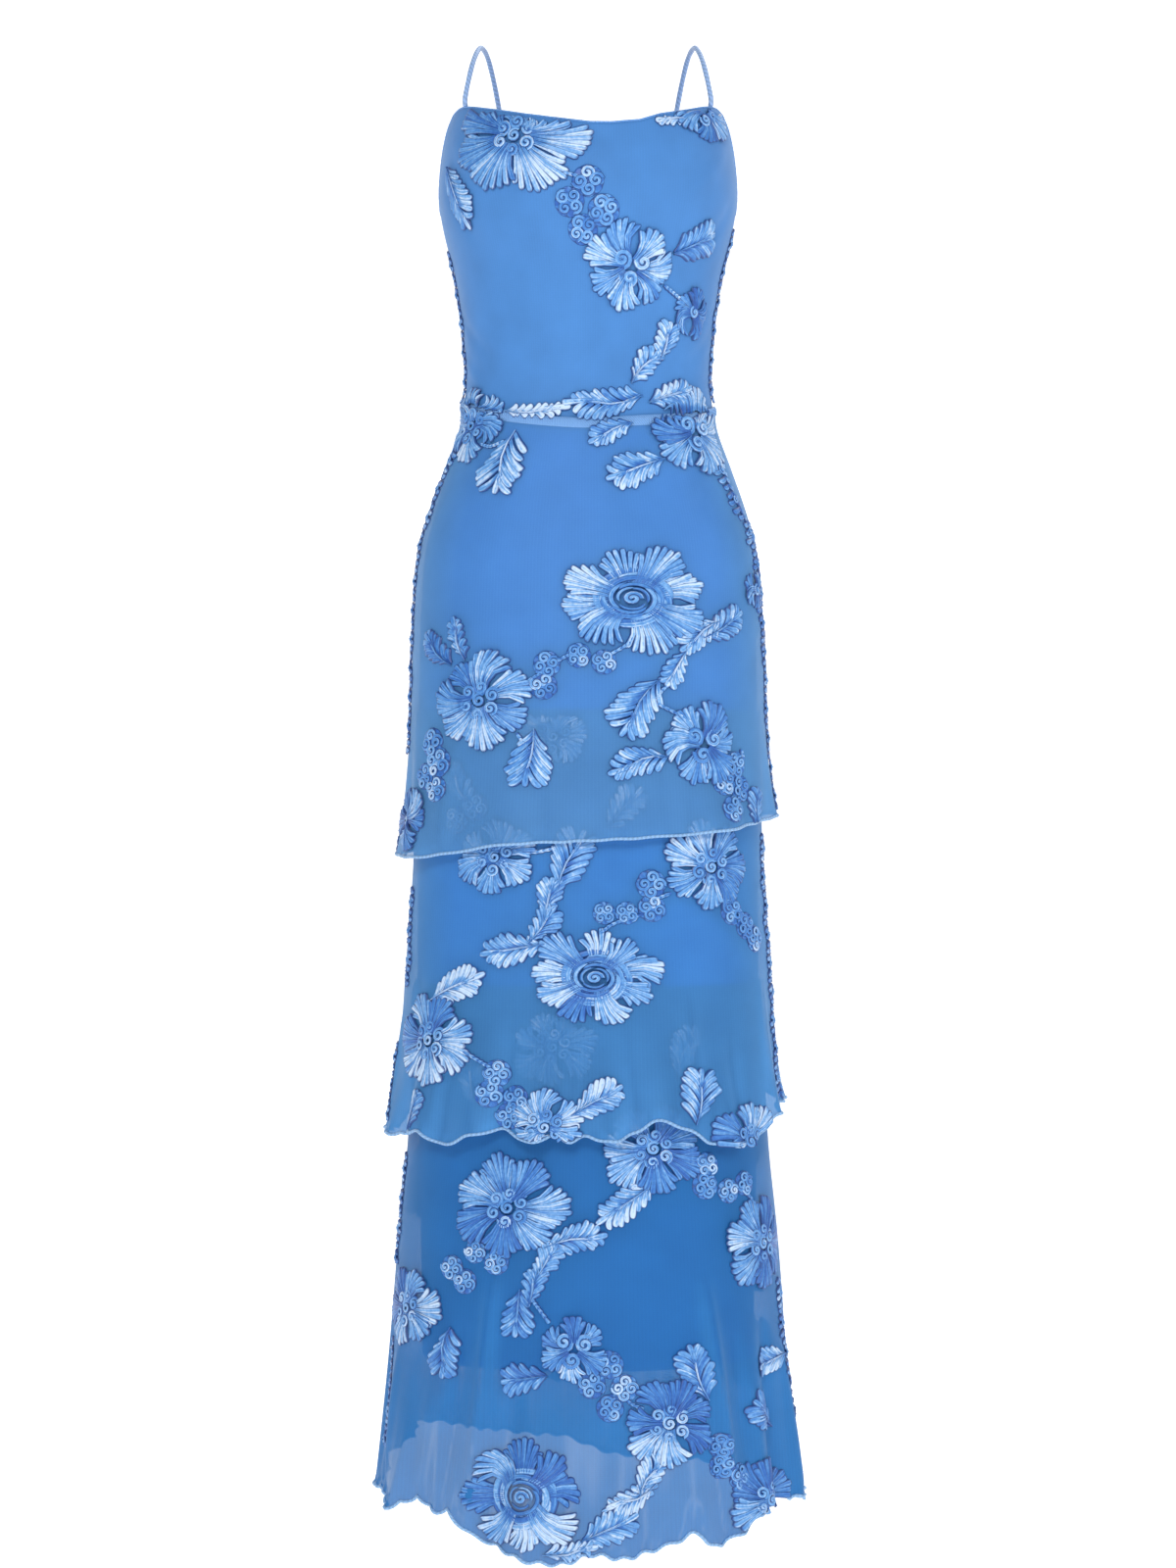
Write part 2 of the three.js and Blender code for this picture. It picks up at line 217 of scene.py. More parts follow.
def smoothly(table, places):
    """Reads a table along a smooth curve through its rows: one array for each column after the first."""
    rows = np.array(table, dtype=float)
    places = np.clip(places, rows[0, 0], rows[-1, 0])
    last = len(rows) - 1
    before = np.maximum(np.arange(last + 1) - 1, 0)
    after = np.minimum(np.arange(last + 1) + 1, last)
    slopes = (rows[after, 1:] - rows[before, 1:]) / (rows[after, 0] - rows[before, 0])[:, None]
    row = np.clip(np.searchsorted(rows[:, 0], places) - 1, 0, last - 1)
    step = rows[row + 1, 0] - rows[row, 0]
    t = ((places - rows[row, 0]) / step)[:, None]
    step = step[:, None]
    value = ((2 * t**3 - 3 * t**2 + 1) * rows[row, 1:] + (t**3 - 2 * t**2 + t) * step * slopes[row]
             + (3 * t**2 - 2 * t**3) * rows[row + 1, 1:] + (t**3 - t**2) * step * slopes[row + 1])
    return value.T


def section(layer, drop):
    if layer in STAND_OFF:
        return smoothly(SECTIONS["lining"], drop) + smoothly(STAND_OFF[layer], drop)
    return smoothly(SECTIONS[layer], drop)


def ripples(layer, angle):
    """How far round its ripples a lettuce edge is at an angle."""
    return LETTUCE[layer][0] * angle + RIPPLE_DRIFT * np.sin(RIPPLE_DRIFTS * angle)


def hem_at(layer, angle):
    lettuce = LETTUCE[layer][2] * np.sin(ripples(layer, angle)) if layer in LETTUCE else 0
    return smoothly(HEMS[layer], np.degrees(angle))[0] + lettuce


def fall(layer, angle, drop):
    """How far waves, lettuce edge and creases move the cloth in or out."""
    out = np.zeros_like(drop)
    if layer in WAVES:
        count, depth, height = WAVES[layer]
        above = hem_at(layer, angle) - drop
        out += depth * np.clip(1 - above / height, 0, 1) ** 2 * np.sin(count * angle)
        _, ripple, _, height = LETTUCE[layer]
        grown = np.clip(1 - above / height, 0, 1.2) ** 2
        out += ripple * grown * np.cos(ripples(layer, angle))
    for angle_a, drop_a, angle_b, drop_b, width, height in CREASES[layer]:
        turn = (angle - math.radians(angle_a) + math.pi) % (2 * math.pi) - math.pi
        right, down = turn * GIRTH, drop - drop_a
        run_right, run_down = math.radians(angle_b - angle_a) * GIRTH, drop_b - drop_a
        t = np.clip((right * run_right + down * run_down) / (run_right**2 + run_down**2), 0, 1)
        away = np.hypot(right - t * run_right, down - t * run_down)
        ends = np.sqrt(np.sin(math.pi * (CREASE_END + (1 - 2 * CREASE_END) * t)))
        out += height * np.exp(-(away / width) ** 2) * ends
    return out


def worn(layer, angle, drop, out):
    """Points in metres at a height off a layer's worn cloth."""
    half, front, back = section(layer, drop)
    out = out + fall(layer, angle, drop)
    depth = np.where(np.cos(angle) > 0, front, back) + out
    bulge = 1 + SQUARENESS * np.sin(2 * angle) ** 2
    x = (half + out) * bulge * np.sin(angle)
    y = -depth * bulge * np.cos(angle)
    return np.stack([x, y, -drop], axis=-1) * MM


def smoothly_straight(table, angle):
    """Reads a table of angle and drop along straight lines between its rows."""
    rows = np.array(table, dtype=float)
    return np.interp(np.degrees(angle), rows[:, 0], rows[:, 1])


# cloth is more gathered from this far out to the side, over this much more, and below the lining's
# hem, over this many millimetres; the slope of a fold counts by FOLD_COVER
SIDES_FROM, SIDES_OVER, SIDES_COVER = 0.72, 0.26, 0.8
UNDER_OVER, UNDER_COVER = 40, 0.8
FOLD_COVER = 1.4


def cloth_panel(layer, side, columns, rows, top):
    """A panel from its top edge, a table or a drop, to its hem, as a single shell.

    Its attribute "turned" is how closely the cloth is gathered: on the flanks of folds, beside the side
    seams and in the free folds under the lining's hem."""
    middle = 0 if side == "front" else math.pi
    step = 0.01
    gathered = []

    def where(across, up):
        angle = middle + (across - 0.5) * (math.pi - SIDE_SEAM)
        upper = np.full_like(angle, top) if np.isscalar(top) else smoothly_straight(top, angle)
        drop = upper + (hem_at(layer, angle) - upper) * (1 - up)
        pattern = np.stack([angle * GIRTH, -drop], axis=-1) * MM
        slope = (fall(layer, angle + step, drop) - fall(layer, angle - step, drop)) / (2 * step * GIRTH)
        beside = np.clip((np.abs(np.sin(angle)) - SIDES_FROM) / SIDES_OVER, 0, 1)
        under = np.clip((drop - LINING_HEM) / UNDER_OVER, 0, 1)
        cover = np.abs(slope) * FOLD_COVER + SIDES_COVER * beside + UNDER_COVER * under
        gathered.append(np.clip(cover, 0, 1))
        return worn(layer, angle, drop, 0.0), pattern

    panel = shaped_grid(f"{layer}_{side}_cloth", columns, rows, where)
    turned = panel.data.attributes.new("turned", "FLOAT", "POINT")
    turned.data.foreach_set("value", gathered[0])
    return panel


def add_node(tree, kind, values, **settings):
    """Adds a node with its settings, then values or earlier outputs for its inputs."""
    node = tree.nodes.new(f"ShaderNode{kind}")
    for setting, value in settings.items():
        setattr(node, setting, value)
    set_inputs(tree, node, values)
    return node


def maths(tree, operation, *values):
    """The output of a maths node on values or earlier outputs."""
    return add_node(tree, "Math", dict(enumerate(values)), operation=operation).outputs[0]


def new_group(name, inputs, outputs):
    """A node group with named sockets: the group, the outputs it is given and its last node."""
    group = bpy.data.node_groups.new(name, "ShaderNodeTree")
    for in_out, sockets in (("INPUT", inputs), ("OUTPUT", outputs)):
        for socket, kind in sockets.items():
            group.interface.new_socket(socket, in_out=in_out, socket_type=f"NodeSocket{kind}")
    return group, group.nodes.new("NodeGroupInput").outputs, group.nodes.new("NodeGroupOutput")


CELLS_SHARE = 0.35
RIBS_SHARE = 0.22
DARKEST = 0.93


def knit_group():
    """Fine net or knit: small cells, faint ribs and slow mottling, for colour and bump."""
    inputs = {"Pattern": "Vector", "Cells per metre": "Float", "Base": "Color", "Variation": "Float"}
    group, given, last = new_group("dress_knit", inputs, {"Color": "Color", "Height": "Float"})
    pattern = given["Pattern"]
    cells = add_node(group, "TexVoronoi", {
        "Vector": pattern, "Scale": given["Cells per metre"], "Randomness": 0.25,
    })
    mottle = add_node(group, "TexNoise", {"Vector": pattern, "Scale": 22, "Detail": 4})
    both = maths(group, "MULTIPLY_ADD", cells.outputs["Distance"], CELLS_SHARE, mottle.outputs["Fac"])
    spread = add_node(group, "MapRange", {"Value": both, "From Min": 0.35, "From Max": 0.95})
    ribs = add_node(group, "TexWave", {
        "Vector": pattern, "Scale": 110, "Distortion": 1.2, "Detail Scale": 0.4,
    })
    ribbed = maths(group, "MULTIPLY_ADD", ribs.outputs["Fac"], RIBS_SHARE, spread.outputs["Result"])
    value = maths(group, "ADD", maths(group, "MULTIPLY", ribbed, given["Variation"]), DARKEST)
    shade = add_node(group, "HueSaturation", {"Color": given["Base"], "Value": value})
    set_inputs(group, last, {"Color": shade.outputs["Color"], "Height": cells.outputs["Distance"]})
    return group


dress_knit = knit_group()
# in the closest folds, this share of what a sheer net lets through is covered too
GATHERED_COVER = 0.8


def cloth_material(name, color, cells, variation, roughness, sheen, bump, alpha=1.0):
    """Knit or net; a sheer one is closer gathered, and covers more, on the flanks of its folds."""
    material, tree, shader = new_material(name)
    if alpha < 1:
        turned = add_node(tree, "Attribute", {}, attribute_name="turned")
        cover = add_node(tree, "MapRange", {
            "Value": turned.outputs["Fac"], "To Min": alpha, "To Max": alpha + GATHERED_COVER * (1 - alpha),
        })
        set_inputs(tree, shader, {"Alpha": cover.outputs["Result"]})
    place = add_node(tree, "UVMap", {}, uv_map="cloth")
    knit = add_node(tree, "Group", {
        "Pattern": place.outputs["UV"], "Base": (*color, 1),
        "Cells per metre": cells, "Variation": variation,
    }, node_tree=dress_knit)
    height = knit.outputs["Height"]
    relief = add_node(tree, "Bump", {"Strength": bump, "Distance": 0.3 * MM, "Height": height})
    set_inputs(tree, shader, {
        "Base Color": knit.outputs["Color"], "Normal": relief.outputs["Normal"], "Roughness": roughness,
        "Sheen Weight": sheen, "Sheen Roughness": 0.5, "Sheen Tint": (0.7, 0.85, 1.0, 1),
        "Specular IOR Level": 0.25,
    })
    return material


def give_thickness(piece, thickness):
    wall = piece.modifiers.new("cloth_thickness", "SOLIDIFY")
    wall.thickness = thickness
    wall.offset = -1


BODICE_CLOTH = 0.9 * MM
BODICE_GRID = (110, 80)
bodice_knit = cloth_material(
    "bodice_mesh_over_knit", (0.056, 0.205, 0.52),
    cells=700, variation=0.20, roughness=0.62, sheen=0.2, bump=0.25,
)
for side in ("front", "back"):
    bodice = cloth_panel("bodice", side, *BODICE_GRID, TOPS[f"bodice_{side}"])
    give_thickness(bodice, BODICE_CLOTH)
    bodice.data.materials.append(bodice_knit)
    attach(bodice, "root")
    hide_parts(f"bodice_{side}")


# Straps. Two thin round cords of turned knit, sewn inside the neckline's corners, over the shoulders
# and down to the top of the back.
def tube_along(name, path, radius, around, closed=False):
    """A round tube along points in metres; radius(run) gives its size where run goes 0 to 1."""
    path = np.asarray(path)
    ahead = np.roll(path, -1, axis=0) - np.roll(path, 1, axis=0)
    if not closed:
        ahead[0] = path[1] - path[0]
        ahead[-1] = path[-1] - path[-2]
    ahead /= np.linalg.norm(ahead, axis=1)[:, None]
    outward = path * (1, 1, 0)
    outward /= np.linalg.norm(outward, axis=1)[:, None] + 1e-9
    sideways = np.cross(ahead, outward)
    sideways /= np.linalg.norm(sideways, axis=1)[:, None]
    outward = np.cross(sideways, ahead)
    count = len(path)
    run_length = np.concatenate([[0], np.cumsum(np.linalg.norm(np.diff(path, axis=0), axis=1))])

    def where(across, up):
        row = np.clip(np.rint(across * (count - 1)).astype(int), 0, count - 1)
        turn = up * 2 * math.pi
        size = radius(across)[:, None]
        ring = np.cos(turn)[:, None] * outward[row] + np.sin(turn)[:, None] * sideways[row]
        return path[row] + size * ring, np.stack([run_length[row], up * 0.01], axis=-1)

    return shaped_grid(name, count - 1, around, where, closed=True)


STRAP_DIAMETER = 4.6
STRAP_SIDES = 12
STRAP_ROUTE = [
    # over the shoulder at +X: x, y, z; its ends stand on the neckline's corner and the back's edge
    (109.4, -51.7, -65.7), (109.4, -51.7, -56.0), (104, -38, -26), (99, -16, -7), (95, 4, -2.3),
    (90, 28, -11), (83, 53, -42), (74, 75, -98), (67.2, 84.5, -150.0), (67.2, 84.5, -161.5),
]
STRAP_STEPS = 160


def smooth_route(points, steps):
    """A Catmull-Rom curve through points."""
    points = np.array(points, dtype=float)
    padded = np.vstack([2 * points[0] - points[1], points, 2 * points[-1] - points[-2]])
    place = np.linspace(0, len(points) - 1, steps + 1)
    row = np.minimum(place.astype(int), len(points) - 2)
    t = (place - row)[:, None]
    a, b, c, d = (padded[row + i] for i in range(4))
    return 0.5 * (2 * b + (c - a) * t + (2 * a - 5 * b + 4 * c - d) * t**2 + (3 * b - a - 3 * c + d) * t**3)


# a strap narrows to this share at its ends, over the part of its length that this slope gives
STRAP_END = 0.55
STRAP_END_SLOPE = 40
STRAP_UNEVENNESS = 0.03


def strap_size(run):
    ends = np.minimum(1, np.minimum(run, 1 - run) * STRAP_END_SLOPE + STRAP_END)
    return STRAP_DIAMETER / 2 * MM * ends * (1 + STRAP_UNEVENNESS * np.sin(run * 70))


# a wave texture of scale 1 has about three bands to the unit; between turns the colour is darkened to this
# share, painted shade in the grooves
BANDS_PER_SCALE = 3
TURN_GROOVE_SHADE = 0.72


def cord_turns_group():
    """Slanting turns along a cord or thread: Base is darkened between them as painted shade in the grooves,
    and Height rises on them.
    """
    inputs = {"Run": "Vector", "Turns per metre": "Float", "Base": "Color"}
    group, given, last = new_group("cord_turns", inputs, {"Color": "Color", "Height": "Float"})
    scale = maths(group, "DIVIDE", given["Turns per metre"], BANDS_PER_SCALE)
    turns = add_node(group, "TexWave", {
        "Vector": given["Run"], "Scale": scale, "Distortion": 0.6,
    }, bands_direction="DIAGONAL")
    value = maths(group, "MULTIPLY_ADD", turns.outputs["Fac"], 1 - TURN_GROOVE_SHADE, TURN_GROOVE_SHADE)
    shade = add_node(group, "HueSaturation", {"Color": given["Base"], "Value": value})
    set_inputs(group, last, {"Color": shade.outputs["Color"], "Height": turns.outputs["Fac"]})
    return group


cord_turns = cord_turns_group()


def cord_material(name, color, pitch, depth):
    """Satin cord or thread, its turns following the piece's own run length."""
    material, tree, shader = new_material(name)
    place = add_node(tree, "UVMap", {}, uv_map="cloth")
    turns = add_node(tree, "Group", {
        "Run": place.outputs["UV"], "Turns per metre": 1 / pitch, "Base": (*color, 1),
    }, node_tree=cord_turns)
    relief = add_node(tree, "Bump", {"Strength": 0.6, "Distance": depth, "Height": turns.outputs["Height"]})
    set_inputs(tree, shader, {
        "Base Color": turns.outputs["Color"], "Normal": relief.outputs["Normal"], "Roughness": 0.5,
        "Sheen Weight": 0.2,
    })
    return material


strap_cord = cord_material("strap_cord", (0.30, 0.47, 0.80), pitch=2.4 * MM, depth=0.3 * MM)
for side, sign in (("left", 1), ("right", -1)):
    route = smooth_route(STRAP_ROUTE, STRAP_STEPS) * (sign, 1, 1) * MM
    strap = tube_along(f"strap_{side}_cord", route, strap_size, STRAP_SIDES)
    strap.data.materials.append(strap_cord)
    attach(strap, "root")
    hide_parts(f"strap_{side}")


# Lining. An opaque, smooth knit slip, bright blue, cut as a straight column from the waist seam to
# the calf. It carries the tiers, and its hem is turned up and stitched.
SECTIONS["lining"] = [
    *WAIST_SECTIONS,
    (421, 138.0, 89, 110), (457, 147.0, 93, 119), (492, 150.3, 95, 124), (563, 153.0, 98, 126),
    (604, 153.5, 99, 124), (718, 154.0, 101, 117), (848, 154.5, 102, 110), (1000, 153.0, 102, 108),
    (1186, 150.0, 101, 107), (1345, 149.0, 101, 107),
]
HEMS["lining"] = [(-90, LINING_HEM), (270, LINING_HEM)]
CREASES["lining"] = [
    (-30, 760, -24, 1186, 16, -2.2), (22, 800, 28, 1190, 18, -2.4), (-4, 900, 2, 1190, 14, 1.6),
    (150, 780, 156, 1190, 18, -2.4), (205, 800, 200, 1190, 16, -2.2), (178, 900, 182, 1190, 14, 1.6),
    (-90, 1172, 270, 1172, 1.5, -0.5),
]
LINING_CLOTH = 0.8 * MM
LINING_GRID = (80, 90)
lining_knit = cloth_material(
    "lining_knit", (0.020, 0.225, 0.88), cells=900, variation=0.10, roughness=0.5, sheen=0.1, bump=0.15,
)
for side in ("front", "back"):
    lining = cloth_panel("lining", side, *LINING_GRID, WAIST)
    give_thickness(lining, LINING_CLOTH)
    lining.data.materials.append(lining_knit)
    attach(lining, "root")
    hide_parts(f"lining_{side}")


# Waist seam. Bodice, lining and first tier meet in an overlocked seam that shows as a narrow strip of
# close upright stitches, a little proud of the cloth.
STRIP_ABOVE = 3
STRIP_BELOW = 6.5
STRIP_GAP = 0.002
STRIP_OFF = 1.9
STRIP_HEIGHT = 1.7
STITCHES_ROUND = 330
STITCH_DEPTH = 0.28
STRIP_GRID = (990, 7)
# the strip's cross-section rises steeply at its edges and is nearly flat between them
CROWN_POWER = 0.4
CROWN_BEYOND = 0.02


def stitched_strip(side):
    middle = 0 if side == "front" else math.pi

    def where(across, up):
        angle = middle + (across - 0.5) * (math.pi - STRIP_GAP)
        drop = hem_at("bodice", angle) + STRIP_BELOW - (STRIP_ABOVE + STRIP_BELOW) * up
        crown = np.sin(math.pi * np.clip(up * (1 + 2 * CROWN_BEYOND) - CROWN_BEYOND, 0, 1)) ** CROWN_POWER
        stitch = 0.5 + 0.5 * np.sin(STITCHES_ROUND * angle)
        out = STRIP_OFF + STRIP_HEIGHT * crown * (1 - STITCH_DEPTH + STITCH_DEPTH * stitch)
        return worn("lining", angle, drop, out), np.stack([angle * GIRTH, -drop], axis=-1) * MM

    return shaped_grid(f"waist_seam_{side}", *STRIP_GRID, where)


seam_thread = cord_material("seam_thread", (0.165, 0.38, 0.78), pitch=1.5 * MM, depth=0.2 * MM)
for side in ("front", "back"):
    strip = stitched_strip(side)
    strip.data.materials.append(seam_thread)
    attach(strip, "root")
    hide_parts(f"strip_{side}")


# Tiers. Three flared lengths of sheer, soft mesh. The first hangs from the waist seam, the second and
# third are stitched round the lining under the tier above. Each is longer than what hangs over it.
STAND_OFF["tier_1"] = [
    # drop, off the lining at the sides, in front, behind
    (329, 1.8, 1.8, 1.8), (350, 2.2, 2.2, 2.2), (385, 3.6, 3, 3), (457, 5.6, 4, 4), (528, 6.6, 5, 5),
    (604, 7.5, 6.5, 6.5), (670, 11.5, 10, 10), (718, 17, 15, 14), (745, 20, 18, 16),
]
STAND_OFF["tier_2"] = [
    (604, 2.2, 2.2, 2.2), (741, 4.5, 5, 5), (777, 6.6, 8, 8), (830, 10.5, 12, 12), (901, 16, 18, 17),
    (972, 26, 27, 25), (990, 29, 29, 27),
]
STAND_OFF["tier_3"] = [
    (848, 2.2, 2.2, 2.2), (991, 10.3, 11, 11), (1080, 20.5, 22, 21), (1204, 32, 36, 34),
    (1311, 41.5, 48, 45), (1345, 43.5, 51, 47),
]
HEMS["tier_1"] = [
    # angle, drop
    (-90, 734), (-59, 735), (-44, 731), (-24, 723), (-4, 720), (16, 717), (40, 712), (57, 706), (75, 700),
    (90, 696), (120, 700), (150, 706), (180, 713), (210, 722), (240, 730), (270, 734),
]
HEMS["tier_2"] = [
    (-90, 981), (-71, 983), (-53, 977), (-44, 987), (-33, 977), (-24, 972), (-16, 982), (-10, 976),
    (-5, 981), (0, 976), (5, 981), (13, 975), (20, 964), (28, 972), (38, 986), (55, 984), (63, 967),
    (78, 957), (90, 954), (105, 958), (120, 951), (135, 962), (150, 956), (165, 969), (180, 961),
    (195, 974), (210, 966), (225, 979), (240, 972), (255, 983), (270, 981),
]
HEMS["tier_3"] = [
    (-90, 1303), (-72, 1302), (-62, 1310), (-51, 1298), (-43, 1306), (-38, 1304), (-30, 1324),
    (-20, 1335), (-7, 1344), (1, 1335), (10, 1338), (19, 1331), (28, 1320), (34, 1333), (42, 1327),
    (50, 1311), (60, 1304), (75, 1308), (90, 1312), (110, 1310), (130, 1319), (150, 1309), (170, 1308),
    (190, 1290), (210, 1281), (230, 1268), (250, 1284), (270, 1303),
]
# waves of the hem in and out: how many round the dress, how far, the height that they fade over
WAVES.update(tier_1=(10, 2.5, 70), tier_2=(18, 4, 80), tier_3=(16, 6, 190))
# lettuce edge: ripples round the dress, how far out, how far down, the height that they fade over
LETTUCE.update(tier_1=(26, 0.8, 0.35, 14), tier_2=(44, 1.4, 0.9, 16), tier_3=(60, 2.0, 1.5, 18))
CREASES["tier_1"] = [
    (-70, 372, -38, 420, 10, -1.0), (66, 380, 40, 425, 10, -1.0), (-76, 640, -72, 760, 11, -2.6),
    (-50, 655, -46, 760, 13, 2.2), (-14, 670, -12, 760, 15, -1.8), (22, 655, 26, 745, 14, 1.9),
    (52, 640, 57, 735, 12, -2.3), (76, 630, 78, 730, 11, 2.4), (104, 630, 102, 735, 12, -2.4),
    (132, 650, 135, 745, 14, 2.0), (165, 640, 163, 750, 13, -2.2), (198, 650, 203, 755, 14, 2.1),
    (232, 640, 236, 765, 12, -2.4), (256, 640, 258, 765, 11, 2.2),
]
CREASES["tier_2"] = [
    (-80, 880, -82, 1020, 9, 3.4), (-62, 850, -64, 1020, 10, -3.2), (-48, 900, -49, 1020, 9, 2.8),
    (-22, 880, -24, 1010, 11, -2.8), (-4, 910, -6, 1020, 9, 2.0), (12, 890, 15, 1010, 11, -2.6),
    (31, 860, 33, 1020, 10, 3.0), (46, 900, 49, 1020, 9, -3.2), (66, 850, 68, 1000, 10, 3.2),
    (84, 870, 85, 1000, 9, -3.0), (110, 860, 112, 1000, 11, 3.0), (138, 880, 141, 1000, 11, -3.0),
    (162, 870, 160, 1010, 12, 2.8), (189, 880, 192, 1010, 11, -2.8), (216, 860, 214, 1010, 11, 3.0),
    (243, 870, 246, 1010, 10, -3.2),
]
CREASES["tier_3"] = [
    (-28, 1110, -33, 1360, 7, 8.0), (-37, 1150, -42, 1360, 8, -6.0), (-20, 1180, -23, 1350, 9, -4.0),
    (-48, 1200, -53, 1350, 9, 4.0),
    (-68, 1180, -73, 1340, 9, 5.5), (-80, 1160, -84, 1340, 9, -5.5), (-56, 1240, -62, 1350, 7, 4.0),
    (-14, 1200, -16, 1380, 14, 3.5), (4, 1220, 4, 1380, 12, -3.8), (18, 1230, 20, 1370, 12, 3.2),
    (35, 1110, 42, 1330, 7, 8.0), (44, 1160, 51, 1340, 8, -5.5), (28, 1296, 28, 1350, 5, -5.5),
    (58, 1150, 63, 1340, 9, -5.5), (72, 1180, 76, 1350, 9, 5.5), (86, 1160, 88, 1350, 9, -5.0),
    (106, 1140, 109, 1360, 10, 6.0), (121, 1170, 125, 1360, 9, -5.5), (144, 1130, 149, 1360, 10, 6.0),
    (163, 1180, 166, 1370, 11, -5.0), (186, 1140, 188, 1370, 10, 6.0), (207, 1180, 212, 1360, 10, -5.5),
    (228, 1130, 234, 1360, 9, 6.0), (248, 1170, 252, 1350, 9, -5.0),
]
TIERS = [
    # layer, top, columns, rows, colour, opacity
    ("tier_1", WAIST, 210, 80, (0.084, 0.268, 0.58), 0.60),
    ("tier_2", 604, 225, 80, (0.055, 0.235, 0.55), 0.60),
    ("tier_3", 848, 250, 100, (0.017, 0.155, 0.43), 0.70),
]
for layer, top, columns, rows, color, alpha in TIERS:
    mesh_cloth = cloth_material(
        f"{layer}_sheer_mesh", color,
        cells=620, variation=0.20, roughness=0.6, sheen=0.12, bump=0.2, alpha=alpha,
    )
    for side in ("front", "back"):
        tier = cloth_panel(layer, side, columns, rows, top)
        tier.data.materials.append(mesh_cloth)
        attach(tier, "root")
        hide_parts(f"{layer}_{side}")


# Hem edges. Each tier ends in a lettuce edge: a narrow rolled hem, overlocked in paler thread while
# the mesh is stretched, so that it ripples. The neckline and the back have a flatter one.
HEM_STEPS = 1200
HEM_RADIUS = 1.45
HEM_SIDES = 6
HEM_STITCHES = 420
HEM_STITCH_DEPTH = 0.06
hem_thread = cord_material("hem_thread", (0.27, 0.50, 0.83), pitch=2.2 * MM, depth=0.25 * MM)


def hem_size(run):
    return HEM_RADIUS * MM * (1 + HEM_STITCH_DEPTH * np.sin(run * HEM_STITCHES * 2 * math.pi))


for layer, *_ in TIERS:
    angle = np.linspace(-math.pi / 2, 1.5 * math.pi, HEM_STEPS + 1)
    edge = worn(layer, angle, hem_at(layer, angle), 0.0)
    hem = tube_along(f"{layer}_hem_edge", edge, hem_size, HEM_SIDES, closed=True)
    hem.data.materials.append(hem_thread)
    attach(hem, "root")

EDGE_RADIUS = 0.9
EDGE_PLACES = 500
EDGE_INWARD = 0.3
EDGE_STITCH_DEPTH = 0.08


def edge_size(run):
    return EDGE_RADIUS * MM * (1 + EDGE_STITCH_DEPTH * np.sin(run * HEM_STITCHES * math.pi))


edge_thread = cord_material("neckline_thread", (0.14, 0.36, 0.79), pitch=2.0 * MM, depth=0.2 * MM)
for side, middle in (("front", 0), ("back", math.pi)):
    angle = middle + np.linspace(-math.pi / 2, math.pi / 2, EDGE_PLACES)
    edge = worn("bodice", angle, smoothly_straight(TOPS[f"bodice_{side}"], angle), -EDGE_INWARD)
    trim = tube_along(f"bodice_{side}_edge", edge, edge_size, HEM_SIDES)
    trim.data.materials.append(edge_thread)
    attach(trim, "root")


# Embroidery. Narrow satin ribbon is couched in loops: each petal is a fan of loops round a heart of
# small coils or a wrapped rose, each leaf has loops on both sides of a rib, and vines of chained loops
# and round rosettes join them. The ribbon stands about two millimetres off the mesh.
LOOP_ROOT_WIDTH = 0.42
COIL_TURNS = 1.6
COIL_RIBBON = 0.24
WRAP_ARC = math.radians(125)
WRAP_RIBBON = 0.135


def ribbon_loop(name, rounded):
    """One couched loop: root at 0, tip at 1 with this much of it round, two runs of ribbon side by side."""
    straight = np.linspace(0, 1 - rounded, 4)
    bend = 1 - rounded + rounded * np.sin(np.radians((22.5, 45, 67.5, 90)))
    rows = np.concatenate([straight, bend])

    def where(across, up):
        side = 2 * across - 1
        run = np.interp(up, np.linspace(0, 1, len(rows)), rows)
        tip = np.sqrt(np.clip(1 - np.clip((run - 1 + rounded) / rounded, 0, 1) ** 2, 0, 1))
        width = (LOOP_ROOT_WIDTH + (1 - LOOP_ROOT_WIDTH) * run) * tip
        ridge = np.interp(np.abs(side), (0, 0.33, 0.67, 1), (0.62, 0.92, 1.0, 0))
        rise = 0.5 + 0.5 * np.sin(math.pi * (run * 0.7 + 0.2))
        points = np.stack([side * width / 2, run, ridge * rise * tip**0.5], axis=-1)
        return points, np.stack([across, run], axis=-1)

    return shaped_grid(name, 6, len(rows) - 1, where)


def ribbon_coil():
    """Ribbon wound flat into a coil that closes at its middle: radius 1, a little higher there."""

    def where(across, up):
        side = 2 * across - 1
        turn = up * COIL_TURNS * 2 * math.pi
        radius = 0.76 - 0.71 * up + side * COIL_RIBBON
        arch = np.where(np.abs(side) > 0.9, 0, 1)
        points = np.stack([radius * np.cos(turn), radius * np.sin(turn), 0.5 * arch + 0.5 * up], axis=-1)
        return points, np.stack([across, 0.3 + 0.5 * up], axis=-1)

    return shaped_grid("ribbon_coil", 3, 17, where)


def ribbon_wrap():
    """A crescent of ribbon wrapped inward round the heart of a rose: radius 1, a third of a turn."""

    def where(across, up):
        side = 2 * across - 1
        turn = (up - 0.5) * WRAP_ARC
        width = WRAP_RIBBON * np.sqrt(np.clip(1 - (2 * up - 1) ** 4, 0, 1))
        radius = 1.04 - 0.34 * up + side * width
        ridge = np.interp(np.abs(side), (0, 0.5, 1), (0.75, 1.0, 0))
        points = np.stack([radius * np.cos(turn), radius * np.sin(turn), ridge], axis=-1)
        return points, np.stack([across, 0.3 + 0.5 * up], axis=-1)

    return shaped_grid("ribbon_wrap", 4, 9, where)


